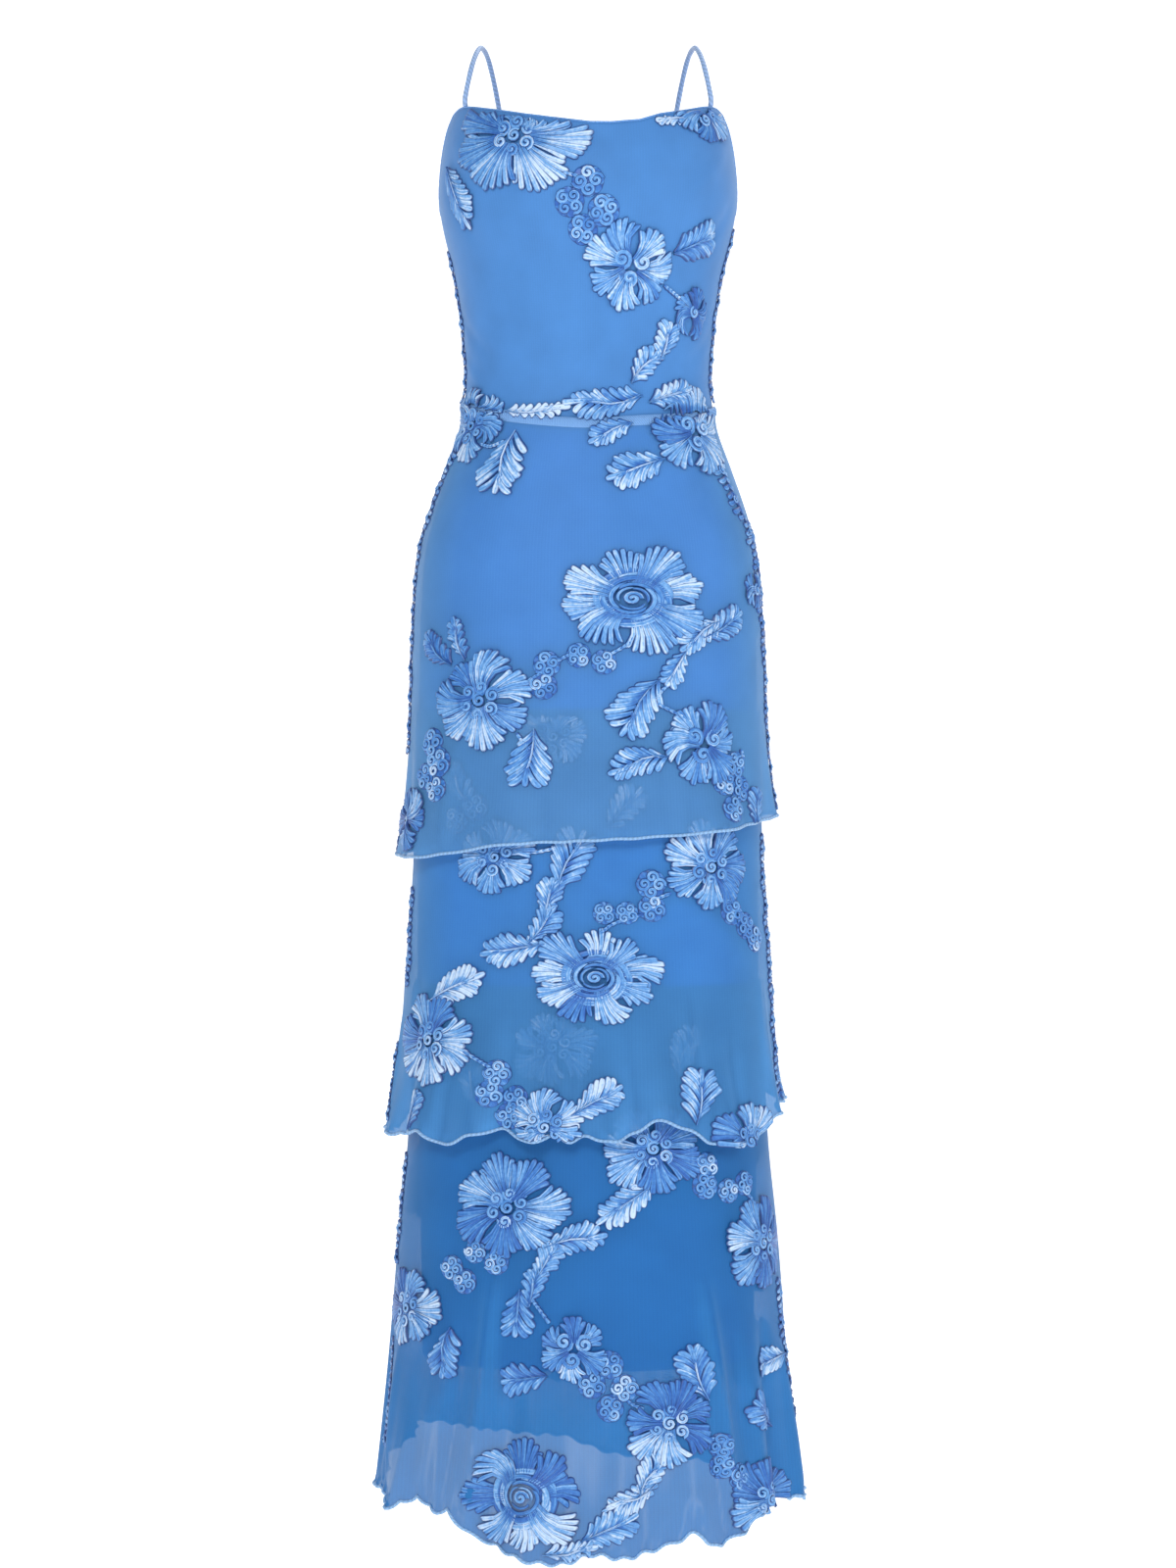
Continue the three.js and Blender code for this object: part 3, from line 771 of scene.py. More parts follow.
def template(piece):
    """A shaped grid's points, faces and pattern places as arrays; the piece itself is removed."""
    mesh = piece.data
    points = np.empty(len(mesh.vertices) * 3)
    mesh.vertices.foreach_get("co", points)
    corners = np.empty(len(mesh.loops), dtype=np.int32)
    mesh.loops.foreach_get("vertex_index", corners)
    pattern = np.empty(len(mesh.loops) * 2)
    mesh.uv_layers[0].data.foreach_get("uv", pattern)
    bpy.data.meshes.remove(mesh)
    return points.reshape(-1, 3), corners.reshape(-1, 4), pattern.reshape(-1, 4, 2)


TEMPLATES = {
    "loop": template(ribbon_loop("long_loop", 0.10)), "broad": template(ribbon_loop("broad_loop", 0.30)),
    "coil": template(ribbon_coil()), "wrap": template(ribbon_wrap()),
}

# petals: their loops' spacing, height and overlap, how far they drift, their lengths and spreads as
# shares of an even petal's, the reach of a fan's outer loops, and how its loops bend
LOOP_PITCH = 6.3
LOOP_HEIGHT = 2.2
LOOP_OVERLAP = 1.10
PETAL_DRIFT = 0.10
PETAL_LENGTHS = (0.88, 1.07)
PETAL_SPREADS = (0.51, 0.59)
FAN_SIDES = 0.66
PETAL_BEND = 2.4
FAN_BEND = 3.2
# leaves, vines and garlands: how far apart their pairs or loops are, and how wide each loop is
LEAF_PITCH, LEAF_LOOP = 7.5, 9.0
VINE_PITCH, VINE_LOOP = 6, 5.2
GARLAND_PITCH, GARLAND_LOOP = 6.5, 7.2
# flowers sewn over the waist seam, half on the bodice and half on the first tier
ACROSS_THE_WAIST = [
    (50, 356, 40, 42, 7, 20, "rosettes", (0.65, 0.75, 0.4, 0.3, 0.6)),
    (-58, 349, 36, 34, 6, 40, "coils", (0.6, 0.7, 0.45)),
]
FLOWERS = {
    # angle, drop, half width, half height, petals, first petal's turn, heart, tones of the petals
    "bodice": [
        (-28, 101, 73, 55, 7, -8, "coils", (0.8, 0.6, 0.45, 0.35, 0.5, 0.6, 0.8)),
        (51, 70, 38, 37, 6, 30, "coils", (0.6, 0.4, 0.65)),
        (18, 215, 42, 40, 7, 5, "rosettes", (0.6, 0.7, 0.5, 0.65)),
        (52, 250, 21, 24, 5, 10, "coil", (0.35, 0.2, 0.45)),
        *ACROSS_THE_WAIST,
    ],
    "tier_1": [
        *ACROSS_THE_WAIST,
        (14, 507, 72, 50, 8, 14, "rose", (0.7, 0.6, 0.65, 0.75, 0.65, 0.6, 0.7, 0.55)),
        (-35, 596, 48, 45, 7, 22, "coils", (0.6, 0.65, 0.3, 0.55, 0.65, 0.7, 0.5)),
        (37, 634, 37, 37, 6, 8, "rosettes", (0.45, 0.3, 0.6, 0.6, 0.5)),
        (-70, 702, 32, 32, 6, 0, "coil", (0.2, 0.6, 0.35)),
        (70, 496, 18, 18, 5, 0, "coil", (0.3, 0.5)),
    ],
    "tier_2": [
        (-11, 628, 34, 30, 6, 10, "coils", (0.7, 0.6)),
        (-30, 734, 36, 34, 6, 25, "coils", (0.6, 0.5, 0.7)),
        (2, 839, 62, 46, 9, 10, "rose", (0.7, 0.6, 0.75, 0.55, 0.8, 0.75, 0.2, 0.75, 0.6)),
        (41, 743, 43, 43, 7, 0, "coils", (0.35, 0.5, 0.7, 0.75, 0.55, 0.65, 0.35)),
        (-53, 896, 49, 46, 7, 18, "coils", (0.7, 0.3, 0.6, 0.35, 0.75, 0.8)),
        (-12, 968, 34, 33, 6, 30, "coils", (0.75, 0.65)),
        (50, 985, 39, 38, 6, 30, "coils", (0.7, 0.55, 0.35)),
    ],
    # the third tier's petal tones are set darker than the others', painted shade for the dimmer light low on
    # the dress
    "tier_3": [
        (-11, 900, 38, 36, 7, 10, "coils", (0.5, 0.4)),
        (20, 989, 48, 42, 7, 20, "coils", (0.4, 0.25, 0.5, 0.65, 0.6, 0.35, 0.3)),
        (-24, 1040, 51, 47, 7, 4, "coils", (0.65, 0.4, 0.5, 0.65, 0.2, 0.3, 0.6)),
        (61, 1078, 45, 45, 7, 12, "coils", (0.2, 0.15, 0.55, 0.7, 0.5)),
        (-62, 1135, 42, 38, 6, 10, "coils", (0.75, 0.5, 0.12, 0.2)),
        (-4, 1160, 33, 33, 6, 28, "rosettes", (0.4, 0.2, 0.3, 0.5, 0.65)),
        (22, 1225, 43, 38, 7, 16, "coils", (0.15, 0.12, 0.2, 0.25, 0.75, 0.7, 0.15)),
        (54, 1300, 45, 41, 6, 20, "coils", (0.25, 0.12, 0.2, 0.6, 0.65)),
        (-17, 1286, 56, 52, 8, 6, "rose", (0.3, 0.15, 0.2, 0.6, 0.25, 0.7, 0.85, 0.75)),
    ],
}
LEAVES = {
    # angle, drop, length, width, way the tip points (90 is up), tone
    "bodice": [
        (-58, 150, 66, 36, -62, 0.6), (48, 191, 50, 36, 25, 0.5), (36, 276, 34, 26, 75, 0.65),
        (27, 299, 38, 26, 50, 0.7), (6, 329, 70, 32, 186, 0.6), (41, 323, 46, 26, 20, 0.75),
        (-22, 337, 56, 18, 2, 0.98), (33, 86, 30, 16, 186, 0.75),
    ],
    "tier_1": [
        (9, 360, 42, 24, 205, 0.6), (-33, 386, 56, 44, 262, 0.7), (18, 392, 56, 34, 200, 0.65),
        (-55, 549, 44, 27, 140, 0.35), (-44, 540, 40, 20, 110, 0.5), (-18, 648, 50, 44, 262, 0.65),
        (48, 528, 48, 30, 30, 0.55), (37, 540, 46, 30, 215, 0.7), (28, 569, 36, 25, 240, 0.6),
        (16, 604, 60, 44, 235, 0.6), (15, 654, 54, 32, 196, 0.65), (62, 690, 36, 24, 80, 0.5),
    ],
    "tier_2": [
        (12, 690, 46, 32, 50, 0.6), (-44, 668, 44, 28, 120, 0.5), (-5, 735, 56, 42, 66, 0.6),
        (-12, 768, 34, 27, 80, 0.6), (-14, 792, 38, 30, 55, 0.55), (-24, 815, 56, 32, 190, 0.65),
        (-42, 848, 58, 32, 25, 0.85), (3, 945, 50, 32, 30, 0.75), (32, 942, 48, 42, 80, 0.6),
        (-57, 957, 34, 24, 80, 0.6),
    ],
    "tier_3": [
        (32, 905, 50, 30, 70, 0.6), (-38, 930, 46, 30, 100, 0.6), (11, 1036, 62, 32, 215, 0.75),
        (-3, 1068, 54, 30, 12, 0.6), (-12, 1086, 36, 26, 60, 0.6), (-16, 1107, 32, 24, 80, 0.5),
        (-20, 1132, 40, 34, 265, 0.45), (-42, 1170, 44, 35, 262, 0.5), (-18, 1187, 40, 32, 190, 0.4),
        (31, 1182, 50, 36, 108, 0.5), (63, 1183, 42, 28, 190, 0.7), (56, 1226, 42, 36, 140, 0.35),
        (17, 1270, 44, 26, 60, 0.7), (11, 1286, 46, 26, 205, 0.85), (6, 1312, 54, 34, 25, 0.6),
        (-4, 1331, 46, 24, 8, 0.75),
    ],
}
ROSETTES = {
    # angle, drop, radius, tone
    "bodice": [
        (0, 144, 14, 0.4), (-7, 162, 13, 0.35), (6, 169, 14, 0.45), (-2, 185, 13, 0.35),
    ],
    "tier_1": [
        (-3, 557, 11, 0.35), (5, 563, 11, 0.45), (-13, 565, 12, 0.45), (-14, 584, 12, 0.35),
        (-56, 633, 13, 0.35), (-52, 651, 14, 0.45), (-59, 663, 12, 0.35), (-52, 674, 12, 0.5),
        (51, 653, 12, 0.4), (45, 668, 12, 0.45), (53, 674, 12, 0.3), (48, 692, 12, 0.4),
    ],
    "tier_2": [
        (-38, 690, 12, 0.5), (-46, 702, 12, 0.4), (5, 783, 10, 0.4), (12, 783, 10, 0.5), (20, 779, 12, 0.4),
        (20, 758, 13, 0.35), (50, 783, 12, 0.4), (57, 796, 12, 0.3), (63, 808, 12, 0.4),
        (-27, 923, 12, 0.5), (-29, 941, 12, 0.4), (-21, 945, 12, 0.3), (-23, 960, 12, 0.35),
    ],
    "tier_3": [
        (38, 1005, 11, 0.5), (37, 1023, 12, 0.4), (46, 1029, 11, 0.5), (54, 1024, 11, 0.4),
        (-34, 1080, 10, 0.5), (-27, 1088, 11, 0.5), (-37, 1106, 11, 0.4), (-42, 1095, 11, 0.45),
        (6, 1174, 12, 0.4), (1, 1191, 12, 0.4), (10, 1194, 12, 0.5), (6, 1211, 12, 0.35),
        (37, 1247, 11, 0.3), (37, 1265, 11, 0.35), (43, 1276, 12, 0.4),
    ],
}
VINES = {
    # places that the vine goes through as (angle, drop), tone
    "bodice": [
        ([(-16, 130), (-10, 136), (-4, 140)], 0.5), ([(34, 230), (41, 238), (47, 244)], 0.6),
        ([(46, 262), (42, 268), (38, 272)], 0.5),
    ],
    "tier_1": [
        ([(-19, 580), (-16, 575), (-14, 571)], 0.4), ([(-10, 563), (-7, 558), (-5, 556)], 0.4),
        ([(7, 556), (12, 548), (14, 540)], 0.5), ([(30, 574), (24, 586), (21, 596)], 0.6),
        ([(22, 600), (28, 608), (33, 616)], 0.6), ([(-22, 626), (-20, 634), (-18, 640)], 0.6),
        ([(-48, 367), (-42, 370), (-36, 366)], 0.6), ([(54, 640), (55, 648), (52, 655)], 0.4),
    ],
    "tier_2": [
        ([(-26, 726), (-18, 730), (-10, 726)], 0.6), ([(16, 785), (8, 792), (4, 800)], 0.4),
        ([(26, 766), (22, 770), (19, 774)], 0.4), ([(-38, 905), (-33, 912), (-29, 918)], 0.4),
        ([(-22, 964), (-18, 970), (-15, 976)], 0.4), ([(46, 772), (52, 778), (60, 800)], 0.3),
    ],
    "tier_3": [
        ([(32, 1002), (35, 1000), (37, 1003)], 0.4), ([(50, 1028), (56, 1036), (58, 1046)], 0.4),
        ([(14, 1020), (12, 1026), (12, 1030)], 0.6), ([(-14, 1082), (-10, 1076), (-6, 1074)], 0.6),
        ([(-16, 1118), (-14, 1126), (-11, 1138)], 0.4), ([(10, 1202), (12, 1208), (15, 1212)], 0.4),
        ([(34, 1240), (37, 1244), (38, 1256), (38, 1270)], 0.3),
        ([(20, 1256), (18, 1266), (12, 1284), (4, 1298)], 0.7), ([(42, 1284), (46, 1286), (49, 1290)], 0.4),
    ],
}
GARLANDS = {
    # angle and drop at the start, then at the end, width, tone
    "bodice": [
        (86, 165, 84, 322, 18, 0.4), (-87, 185, -85, 322, 16, 0.4),
    ],
    "tier_1": [
        (58, 372, 74, 452, 25, 0.45), (74, 430, 82, 560, 23, 0.35), (84, 560, 82, 690, 18, 0.45),
        (-72, 362, -85, 470, 19, 0.45), (-86, 470, -84, 640, 18, 0.35),
    ],
    "tier_2": [
        (80, 712, 78, 950, 20, 0.45), (-80, 760, -74, 850, 17, 0.4), (-84, 900, -82, 970, 18, 0.45),
    ],
    "tier_3": [
        (74, 1110, 78, 1236, 21, 0.45), (82, 1236, 80, 1300, 23, 0.4), (-84, 1000, -80, 1100, 19, 0.45),
        (-80, 1165, -78, 1262, 19, 0.4),
    ],
}
# the back has the same embroidery mirrored, all but the garlands, this much lower or higher
BACK_SHIFT = {"bodice": 60, "tier_1": 24, "tier_2": -20, "tier_3": -100}
# hearts of the flowers: share of the flower's size, coils round the middle, each coil's radius
HEARTS = {"coils": (0.30, 7, 6.6), "rosettes": (0.30, 3, 9.0), "coil": (0.24, 1, 7.0), "rose": (0.50, 0, 0)}
# rings of a wrapped rose: share of its radius, crescents round it
ROSE_RINGS = [(1.0, 6), (0.78, 5), (0.57, 4), (0.38, 3)]
# a rosette is a round ground of loops under small coils
GROUND_LOOPS = 8
ROSETTE_COILS = 4
# each stamp stays on its panel: this far below its top edge, above its hem and round its side seam
TOP_MARGIN = 2.6
HEM_MARGIN = 0.5
PANEL_REACH = math.radians(95)
# the second and third tier's embroidery starts just below their joins, at these drops
UPPER = {"tier_2": 606.0, "tier_3": 850.0}
# what crosses the waist seam rides over it
SEAM_LIFT = {"bodice": 3.2, "tier_1": 1.8, "tier_2": 0, "tier_3": 0}
SEAM_LIFT_WIDTH = 7
# ribbon lies this far off the mesh; a loop is cut to its panel in this many parts; one under this
# many widths long is broad; tones differ from loop to loop
RIBBON_OFF = 0.15
LOOP_PARTS = 8
SHORTEST_LOOP = 3
BROAD_UNDER = 3.2
TONE_SPREAD = 0.09


def round_the_middle(way, wide, tall):
    return wide * math.cos(way), tall * math.sin(way)


class Embroidery:
    """The stamps of one panel: each is a template laid from a place on the cloth."""

    def __init__(self, layer, side):
        self.layer, self.side = layer, side
        self.stamps = {kind: [] for kind in TEMPLATES}
        self.top = TOPS[f"{layer}_{side}"] if layer == "bodice" else [(a, d - STRIP_ABOVE) for a, d in WAIST]
        self.anchor = None
        self.chance = None

    def start(self, angle, drop):
        """Following stamps are placed in millimetres right of and above this place."""
        self.chance = np.random.default_rng(round(1000 + angle % 360 * 7 + drop * 13))
        angle = math.radians(angle)
        half, front, back = section(self.layer, np.array([float(drop)]))[:, 0]
        depth = front if math.cos(angle) > 0 else back
        self.anchor = (angle, drop, math.hypot(half * math.cos(angle), depth * math.sin(angle)))

    def on_panel(self, places):
        angle, drop, stretch = self.anchor
        angles = angle + places[:, 0] / stretch
        drops = drop - places[:, 1]
        upper = UPPER[self.layer] if self.layer in UPPER else smoothly_straight(self.top, angles)
        middle = 0 if self.side == "front" else math.pi
        lower = hem_at(self.layer, angles)
        reach = np.abs(angles - middle) < PANEL_REACH
        return (drops > upper + TOP_MARGIN) & (drops < lower - HEM_MARGIN) & reach

    def loop(self, root, tip, width, tone, height=LOOP_HEIGHT, base=0.0, sway=0.0):
        """A loop from root to tip, or as much of it as lies on the panel."""
        root, tip = np.array(root, float), np.array(tip, float)
        inside = self.on_panel(root + np.linspace(0, 1, LOOP_PARTS + 1)[:, None] * (tip - root))
        if not inside.any():
            return
        first = np.argmax(inside)
        last = first + np.argmin(np.append(inside[first:], False)) - 1
        root, tip = root + first / LOOP_PARTS * (tip - root), root + last / LOOP_PARTS * (tip - root)
        along = tip - root
        length = np.hypot(*along)
        if length < SHORTEST_LOOP:
            return
        across = np.array([along[1], -along[0]]) / length
        tone = tone + self.chance.normal(0, TONE_SPREAD)
        kind = "broad" if length < BROAD_UNDER * width else "loop"
        self.stamps[kind].append((*self.anchor, *root, *(across * width), *along, *(across * sway),
                                  height, base, tone))

    def disc(self, kind, place, radius, turn, tone, height, base=0.0, flatter=1.0):
        """A coil or crescent round a place, left out where that place is off the panel."""
        if not self.on_panel(np.array([place], float)).all():
            return
        ahead = round_the_middle(turn, radius, radius * flatter)
        aside = (-radius * math.sin(turn), radius * math.cos(turn) * flatter)
        self.stamps[kind].append((*self.anchor, *place, *ahead, *aside, 0, 0, height, base, tone))

    def rosette(self, radius, tone):
        turn = self.chance.uniform(0, 2 * math.pi)
        rim = 1.02 * radius
        for i in range(GROUND_LOOPS):
            way = turn + i * 2 * math.pi / GROUND_LOOPS
            self.loop((0, 0), round_the_middle(way, rim, rim), 1.05 * radius, tone - 0.25, 1.2)
        for i in range(ROSETTE_COILS):
            way = turn + i * 2 * math.pi / ROSETTE_COILS
            place = round_the_middle(way, 0.50 * radius, 0.50 * radius)
            coil_tone = tone + 0.14 + self.chance.normal(0, 0.1)
            self.disc("coil", place, 0.60 * radius, way * 3, coil_tone, 2.0, 1.0)

    def rose(self, radius, flatter):
        """Rings of crescents, each lying over the ring outside it, round one coil."""
        for ring, (reach, around) in enumerate(ROSE_RINGS):
            for i in range(around):
                turn = 2 * math.pi * (i + 0.4 * ring) / around + self.chance.normal(0, 0.12)
                size = radius * reach * (1 + self.chance.uniform(-0.06, 0.06))
                place = round_the_middle(turn + 1.2, 2.0, 1.5)
                tone = 0.22 + 0.34 * ((i + ring) % 2) + self.chance.normal(0, 0.1)
                over = 1.0 + 0.6 * ring + 0.4 * (i % 2)
                self.disc("wrap", place, size, turn, tone, 1.4, over, flatter)
        self.disc("coil", (0, 0), 0.30 * radius, 0, 0.6, 1.6, 3.2, flatter)

    def heart(self, kind, wide, tall):
        share, count, size = HEARTS[kind]
        if kind == "rose":
            self.rose(share * wide, tall / wide)
            return
        size *= 0.75 + 0.25 * min(wide, tall) / 42
        for i in range(count):
            ring = 0 if count == 1 or i == 6 else size * (1.2 if count == 3 else 1.9)
            way = 2 * math.pi * i / min(count, 6) + 0.4
            place = round_the_middle(way, ring, 0.94 * ring)
            self.disc("coil", place, size * 1.2, way * 2, 0.42 + self.chance.uniform(0, 0.3), 2.4, 1.8)

    def flower(self, angle, drop, wide, tall, petals, first, kind, tones):
        self.start(angle, drop)
        middle = HEARTS[kind][0] * 0.5
        outer = (wide + tall) / 2
        span = 2 * math.pi / petals
        for petal in range(petals):
            way = math.radians(first) + (petal + self.chance.uniform(-PETAL_DRIFT, PETAL_DRIFT)) * span
            tone = tones[petal % len(tones)]
            long = self.chance.uniform(*PETAL_LENGTHS)
            spread = span * self.chance.uniform(*PETAL_SPREADS)
            count = max(4, round(2 * spread * outer * long / LOOP_PITCH))
            width = 2 * spread * outer * long / count * LOOP_OVERLAP
            over = 1.0 * (petal % 2) + self.chance.uniform(0, 0.4)
            bend = self.chance.normal(0, PETAL_BEND)
            for i in range(count):
                share = 2 * (i + 0.5) / count - 1
                start, end = way + share * spread * 1.1, way + share * spread
                reach = FAN_SIDES + (1 - FAN_SIDES) * math.sqrt(1 - share**2)
                reach *= long * self.chance.uniform(0.95, 1.03)
                root = round_the_middle(start, middle * wide, middle * tall)
                tip = round_the_middle(end, reach * wide, reach * tall)
                sway = bend + share * FAN_BEND
                self.loop(root, tip, width, tone, LOOP_HEIGHT, over + 0.35 * (i % 2), sway)
        self.heart(kind, wide, tall)

    def leaf(self, angle, drop, length, width, tip, tone):
        self.start(angle, drop)
        lie = math.radians(tip)
        ahead = np.array([math.cos(lie), math.sin(lie)])
        aside = np.array([-ahead[1], ahead[0]])
        stem = -0.5 * length * ahead
        bow = self.chance.uniform(-0.1, 0.1) * length
        pairs = max(3, round(length / LEAF_PITCH))
        for i in range(pairs):
            run = (i + 0.1) / pairs
            fullness = math.sin(math.pi * (0.24 + 0.60 * run))
            rib = stem + ahead * length * run * 0.78 + aside * bow * math.sin(math.pi * run)
            for hand in (-1, 1):
                reach = (width / 2 - 2) * fullness * self.chance.uniform(0.88, 1.12)
                end = rib + aside * hand * reach + ahead * (reach * 0.75 + 5)
                over = 0.14 * i + 0.3 * (hand > 0)
                sway = hand * self.chance.uniform(0.5, 2.5)
                self.loop(rib, end, LEAF_LOOP, tone + 0.06 * hand, 2.1, over, sway)
        self.loop(stem + ahead * length * 0.6, stem + ahead * length, 8.5, tone + 0.05, 2.2, 0.14 * pairs)
        self.loop(stem - ahead * 2, stem + ahead * length * 0.7, 2.6, tone + 0.15, 2.6, 1.0, -bow)

    def vine(self, route, tone):
        """Short loops chained along a route; one degree round the dress is about 2.3 mm."""
        length = sum(math.hypot((b[0] - a[0]) * 2.3, b[1] - a[1]) for a, b in zip(route, route[1:]))
        path = smooth_route([(*place, 0) for place in route], 2 + round(length / VINE_PITCH))
        for here, there in zip(path, path[1:]):
            self.start(here[0], here[1])
            right = math.radians(there[0] - here[0]) * self.anchor[2]
            above = here[1] - there[1]
            root, tip = (-0.25 * right, -0.25 * above), (1.2 * right, 1.2 * above)
            self.loop(root, tip, VINE_LOOP, tone + 0.1, 2.0, 0.1)

    def garland(self, angle_a, drop_a, angle_b, drop_b, width, tone):
        """Pairs of loops along a swinging line, with a coil on each fourth pair."""
        steps = max(3, round(abs(drop_b - drop_a) / GARLAND_PITCH))
        for i in range(steps):
            run = (i + 0.5) / steps
            self.start(angle_a + (angle_b - angle_a) * run, drop_a + (drop_b - drop_a) * run)
            swing = 2.2 * math.sin(i * 0.9)
            for hand in (-1, 1):
                reach = width / 2 * (0.75 + 0.25 * math.sin(i * 1.3 + hand))
                end = (swing + hand * reach, -4 + self.chance.uniform(-1.5, 1.5))
                pair_tone = tone + 0.15 * math.sin(i * 0.8)
                self.loop((swing, 0), end, GARLAND_LOOP, pair_tone, 2.0, 0.3 * (i % 2), hand)
            if i % 4 == 2:
                self.disc("coil", (swing, 0), 5.2, i, tone + 0.1, 2.3, 1.2)

    def sewn(self, name):
        """All the stamps as one mesh on the worn cloth."""
        points, faces, pattern, tones, used = [], [], [], [], 0
        for kind, stamps in self.stamps.items():
            if not stamps:
                continue
            shape, corners, places = TEMPLATES[kind]
            x, y, z = shape.T
            bow = np.sin(math.pi * np.clip(y, 0, 1)) if kind in ("loop", "broad") else np.zeros_like(y)
            columns = [column[:, None] for column in np.array(stamps, dtype=float).T]
            from_angle, from_drop, stretch, root_right, root_above, *sides, height, base, tone = columns
            wide_right, wide_above, long_right, long_above, sway_right, sway_above = sides
            right = root_right + wide_right * x + long_right * y + sway_right * bow
            above = root_above + wide_above * x + long_above * y + sway_above * bow
            angle = (from_angle + right / stretch).ravel()
            drop = (from_drop - above).ravel()
            from_seam = drop - hem_at("bodice", angle) - (STRIP_BELOW - STRIP_ABOVE) / 2
            over_seam = SEAM_LIFT[self.layer] * np.exp(-((from_seam / SEAM_LIFT_WIDTH) ** 2))
            out = RIBBON_OFF + (base + height * z).ravel() + over_seam
            points.append(worn(self.layer, angle, drop, out))
            start = used + np.arange(len(stamps)) * len(shape)
            faces.append((corners[None] + start[:, None, None]).reshape(-1, 4))
            pattern.append(np.tile(places.reshape(-1, 2), (len(stamps), 1)))
            tones.append(np.repeat(tone.ravel(), len(shape)))
            used += len(stamps) * len(shape)
        mesh = bpy.data.meshes.new(name)
        mesh.from_pydata(np.concatenate(points).tolist(), [], np.concatenate(faces).tolist())
        mesh.uv_layers.new(name="ribbon").data.foreach_set("uv", np.concatenate(pattern).ravel())
        tone = mesh.attributes.new("tone", "FLOAT", "POINT")
        tone.data.foreach_set("value", np.clip(np.concatenate(tones), 0, 1))
        mesh.shade_smooth()
        piece = bpy.data.objects.new(name, mesh)
        scene.collection.objects.link(piece)
        return piece


# colours of satin ribbon from its deepest folds, in painted shade, to its painted highlights, and of its
# edge, partly outline thread and partly painted shade between loops
RIBBON_COLORS = [
    # place on the ramp, colour
    (0.0, (0.012, 0.105, 0.44, 1)), (0.35, (0.040, 0.205, 0.59, 1)), (0.68, (0.145, 0.38, 0.76, 1)),
    (1.0, (0.56, 0.72, 0.94, 1)),
]
RIBBON_EDGE = (0.006, 0.050, 0.23, 1)


def eased(tree, value, low, high, low_gives=0.0, high_gives=1.0):
    """The output of a smooth step from one value to another."""
    return add_node(tree, "MapRange", {
        "Value": value, "From Min": low, "From Max": high, "To Min": low_gives, "To Max": high_gives,
    }, interpolation_type="SMOOTHSTEP").outputs["Result"]


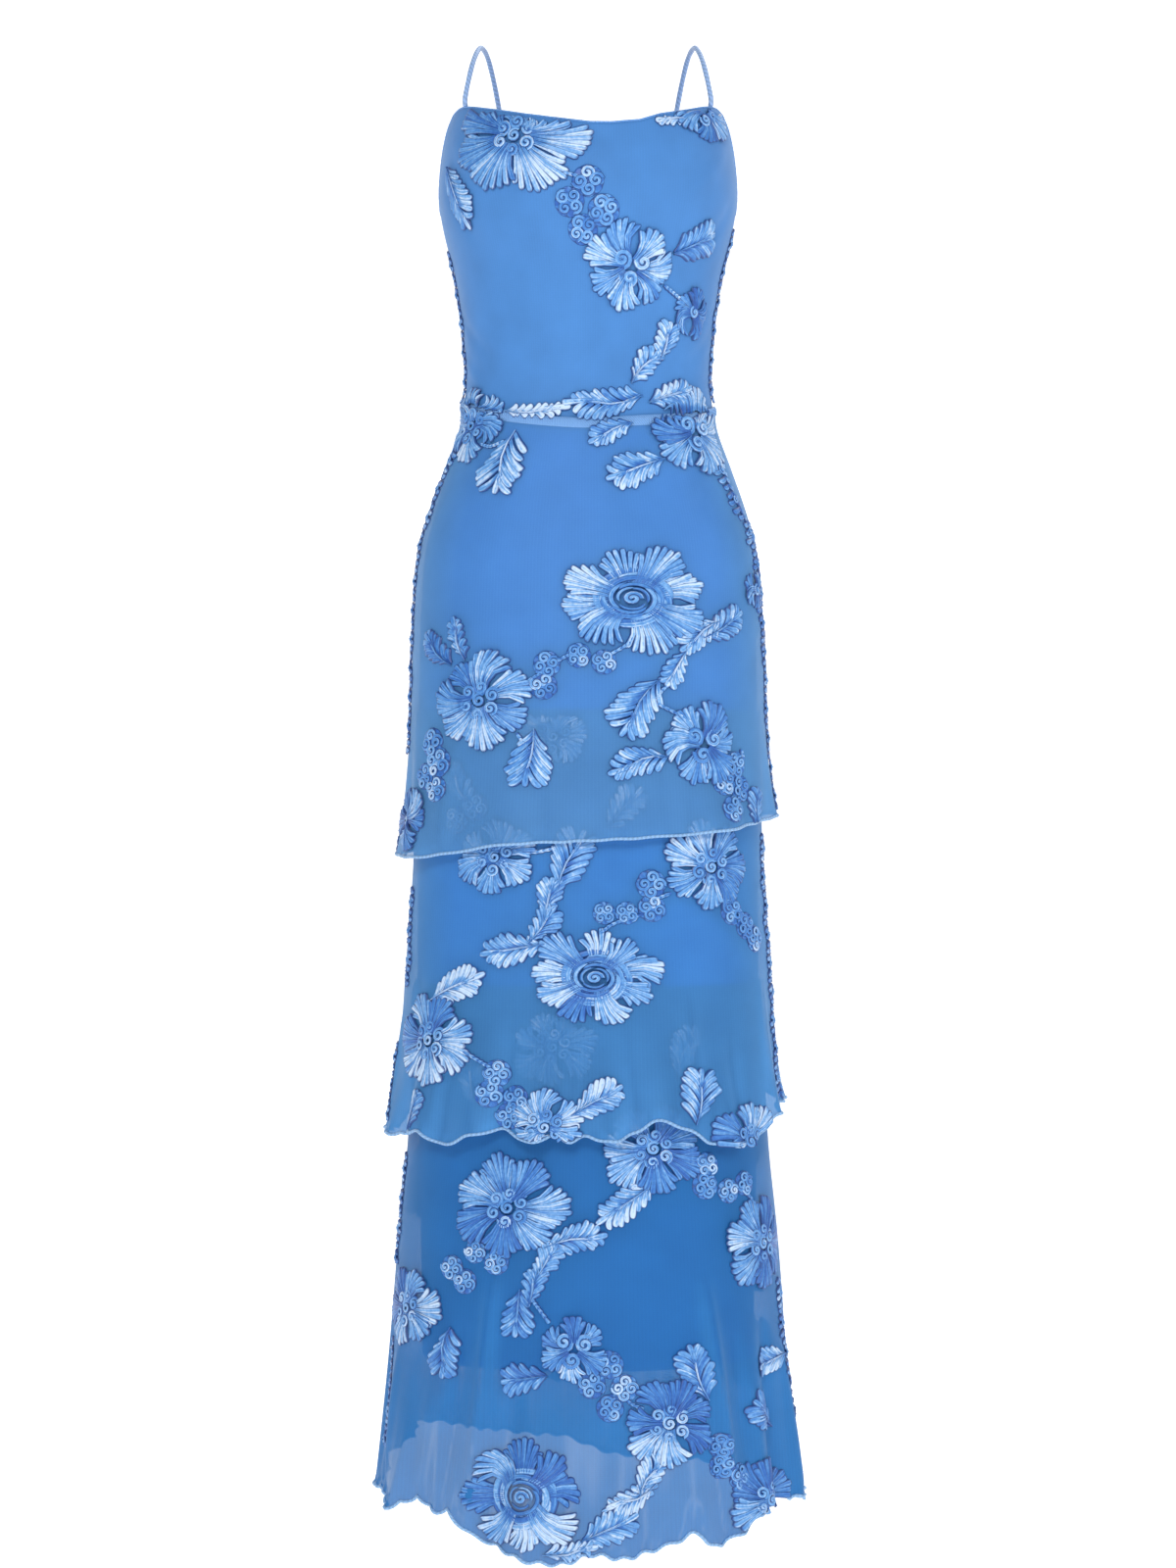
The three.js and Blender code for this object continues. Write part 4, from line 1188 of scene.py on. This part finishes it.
def ribbon_material():
    """Satin ribbon, crinkled, coloured with painted highlights and shade: deeper at its root, partly as
    painted shade, lighter on its ridges and darker down its middle fold as painted light, and dark along
    both edges and round its tip, partly outline thread and partly painted shade.
    """
    material, tree, shader = new_material("ribbon_embroidery")
    place = add_node(tree, "UVMap", {}, uv_map="ribbon")
    across, along, _ = add_node(tree, "SeparateXYZ", {0: place.outputs["UV"]}).outputs
    tone = add_node(tree, "Attribute", {}, attribute_name="tone").outputs["Fac"]
    on_dress = add_node(tree, "TexCoord", {})
    # crinkle noise: the satin's bump relief, and painted highlights and painted shade in its colour
    crinkle_and_painted_light = add_node(tree, "TexNoise", {"Vector": on_dress.outputs["Object"], "Scale": 330, "Detail": 3})
    drawn_out = add_node(tree, "CombineXYZ", {
        "X": maths(tree, "MULTIPLY", across, 4.0), "Y": maths(tree, "MULTIPLY", along, 1.6),
        "Z": maths(tree, "MULTIPLY", tone, 60.0),
    })
    # noise drawn out along each loop: painted highlight streaks
    painted_highlight_streaks = add_node(tree, "TexNoise", {"Vector": drawn_out.outputs["Vector"], "Scale": 1.0, "Detail": 2})
    from_edge = maths(tree, "PINGPONG", across, 0.5)
    # brightness for the colour ramp, starting from the crinkle noise's painted highlights and shade
    lit = maths(tree, "MULTIPLY_ADD", crinkle_and_painted_light.outputs["Fac"], 0.6, -0.3)
    for addition in (
        maths(tree, "MULTIPLY_ADD", painted_highlight_streaks.outputs["Fac"], 1.2, -0.6),
        tone,
        # darker towards the root: partly deeper ribbon, partly painted shade by the flower's heart
        eased(tree, along, 0.12, 0.45, -0.34, 0.05),
        # a painted highlight on each ridge and painted shade down the middle fold between them
        eased(tree, from_edge, 0.30, 0.5, 0.03, -0.05),
    ):
        lit = maths(tree, "ADD", lit, addition)
    ramp = add_node(tree, "ValToRGB", {"Fac": lit})
    stops = ramp.color_ramp.elements
    for stop, (position, color) in zip(stops, (RIBBON_COLORS[0], RIBBON_COLORS[-1])):
        stop.position = position
        stop.color = color
    for position, color in RIBBON_COLORS[1:-1]:
        stops.new(position).color = color
    # a dark rim along both edges and round the tip: partly the outline thread, partly painted shade between
    # neighbouring loops
    sides, tip = eased(tree, from_edge, 0.06, 0.27), eased(tree, along, 0.94, 0.995, 1.0, 0.1)
    thread = add_node(tree, "Mix", {
        "Factor": maths(tree, "MULTIPLY", sides, tip), "A": RIBBON_EDGE, "B": ramp.outputs["Color"],
    }, data_type="RGBA")
    height = crinkle_and_painted_light.outputs["Fac"]
    relief = add_node(tree, "Bump", {"Strength": 0.7, "Distance": 0.6 * MM, "Height": height})
    set_inputs(tree, shader, {
        "Base Color": thread.outputs["Result"], "Normal": relief.outputs["Normal"], "Roughness": 0.4,
        "Sheen Weight": 0.1,
    })
    return material


ribbon = ribbon_material()
for layer in ("bodice", "tier_1", "tier_2", "tier_3"):
    for side in ("front", "back"):
        work = Embroidery(layer, side)
        behind = side == "back"
        shift = BACK_SHIFT[layer] if behind else 0
        for angle, drop, *rest in FLOWERS[layer]:
            work.flower(180 - angle if behind else angle, drop + shift, *rest)
        for angle, drop, length, width, tip, tone in LEAVES[layer]:
            tip = 180 - tip if behind else tip
            work.leaf(180 - angle if behind else angle, drop + shift, length, width, tip, tone)
        for angle, drop, radius, tone in ROSETTES[layer]:
            work.start(180 - angle if behind else angle, drop + shift)
            work.rosette(radius, tone)
        for route, tone in VINES[layer]:
            work.vine([(180 - a if behind else a, d + shift) for a, d in route], tone)
        if not behind:
            for garland in GARLANDS[layer]:
                work.garland(*garland)
        sewn = work.sewn(f"{layer}_{side}_embroidery")
        sewn.data.materials.append(ribbon)
        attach(sewn, "root")
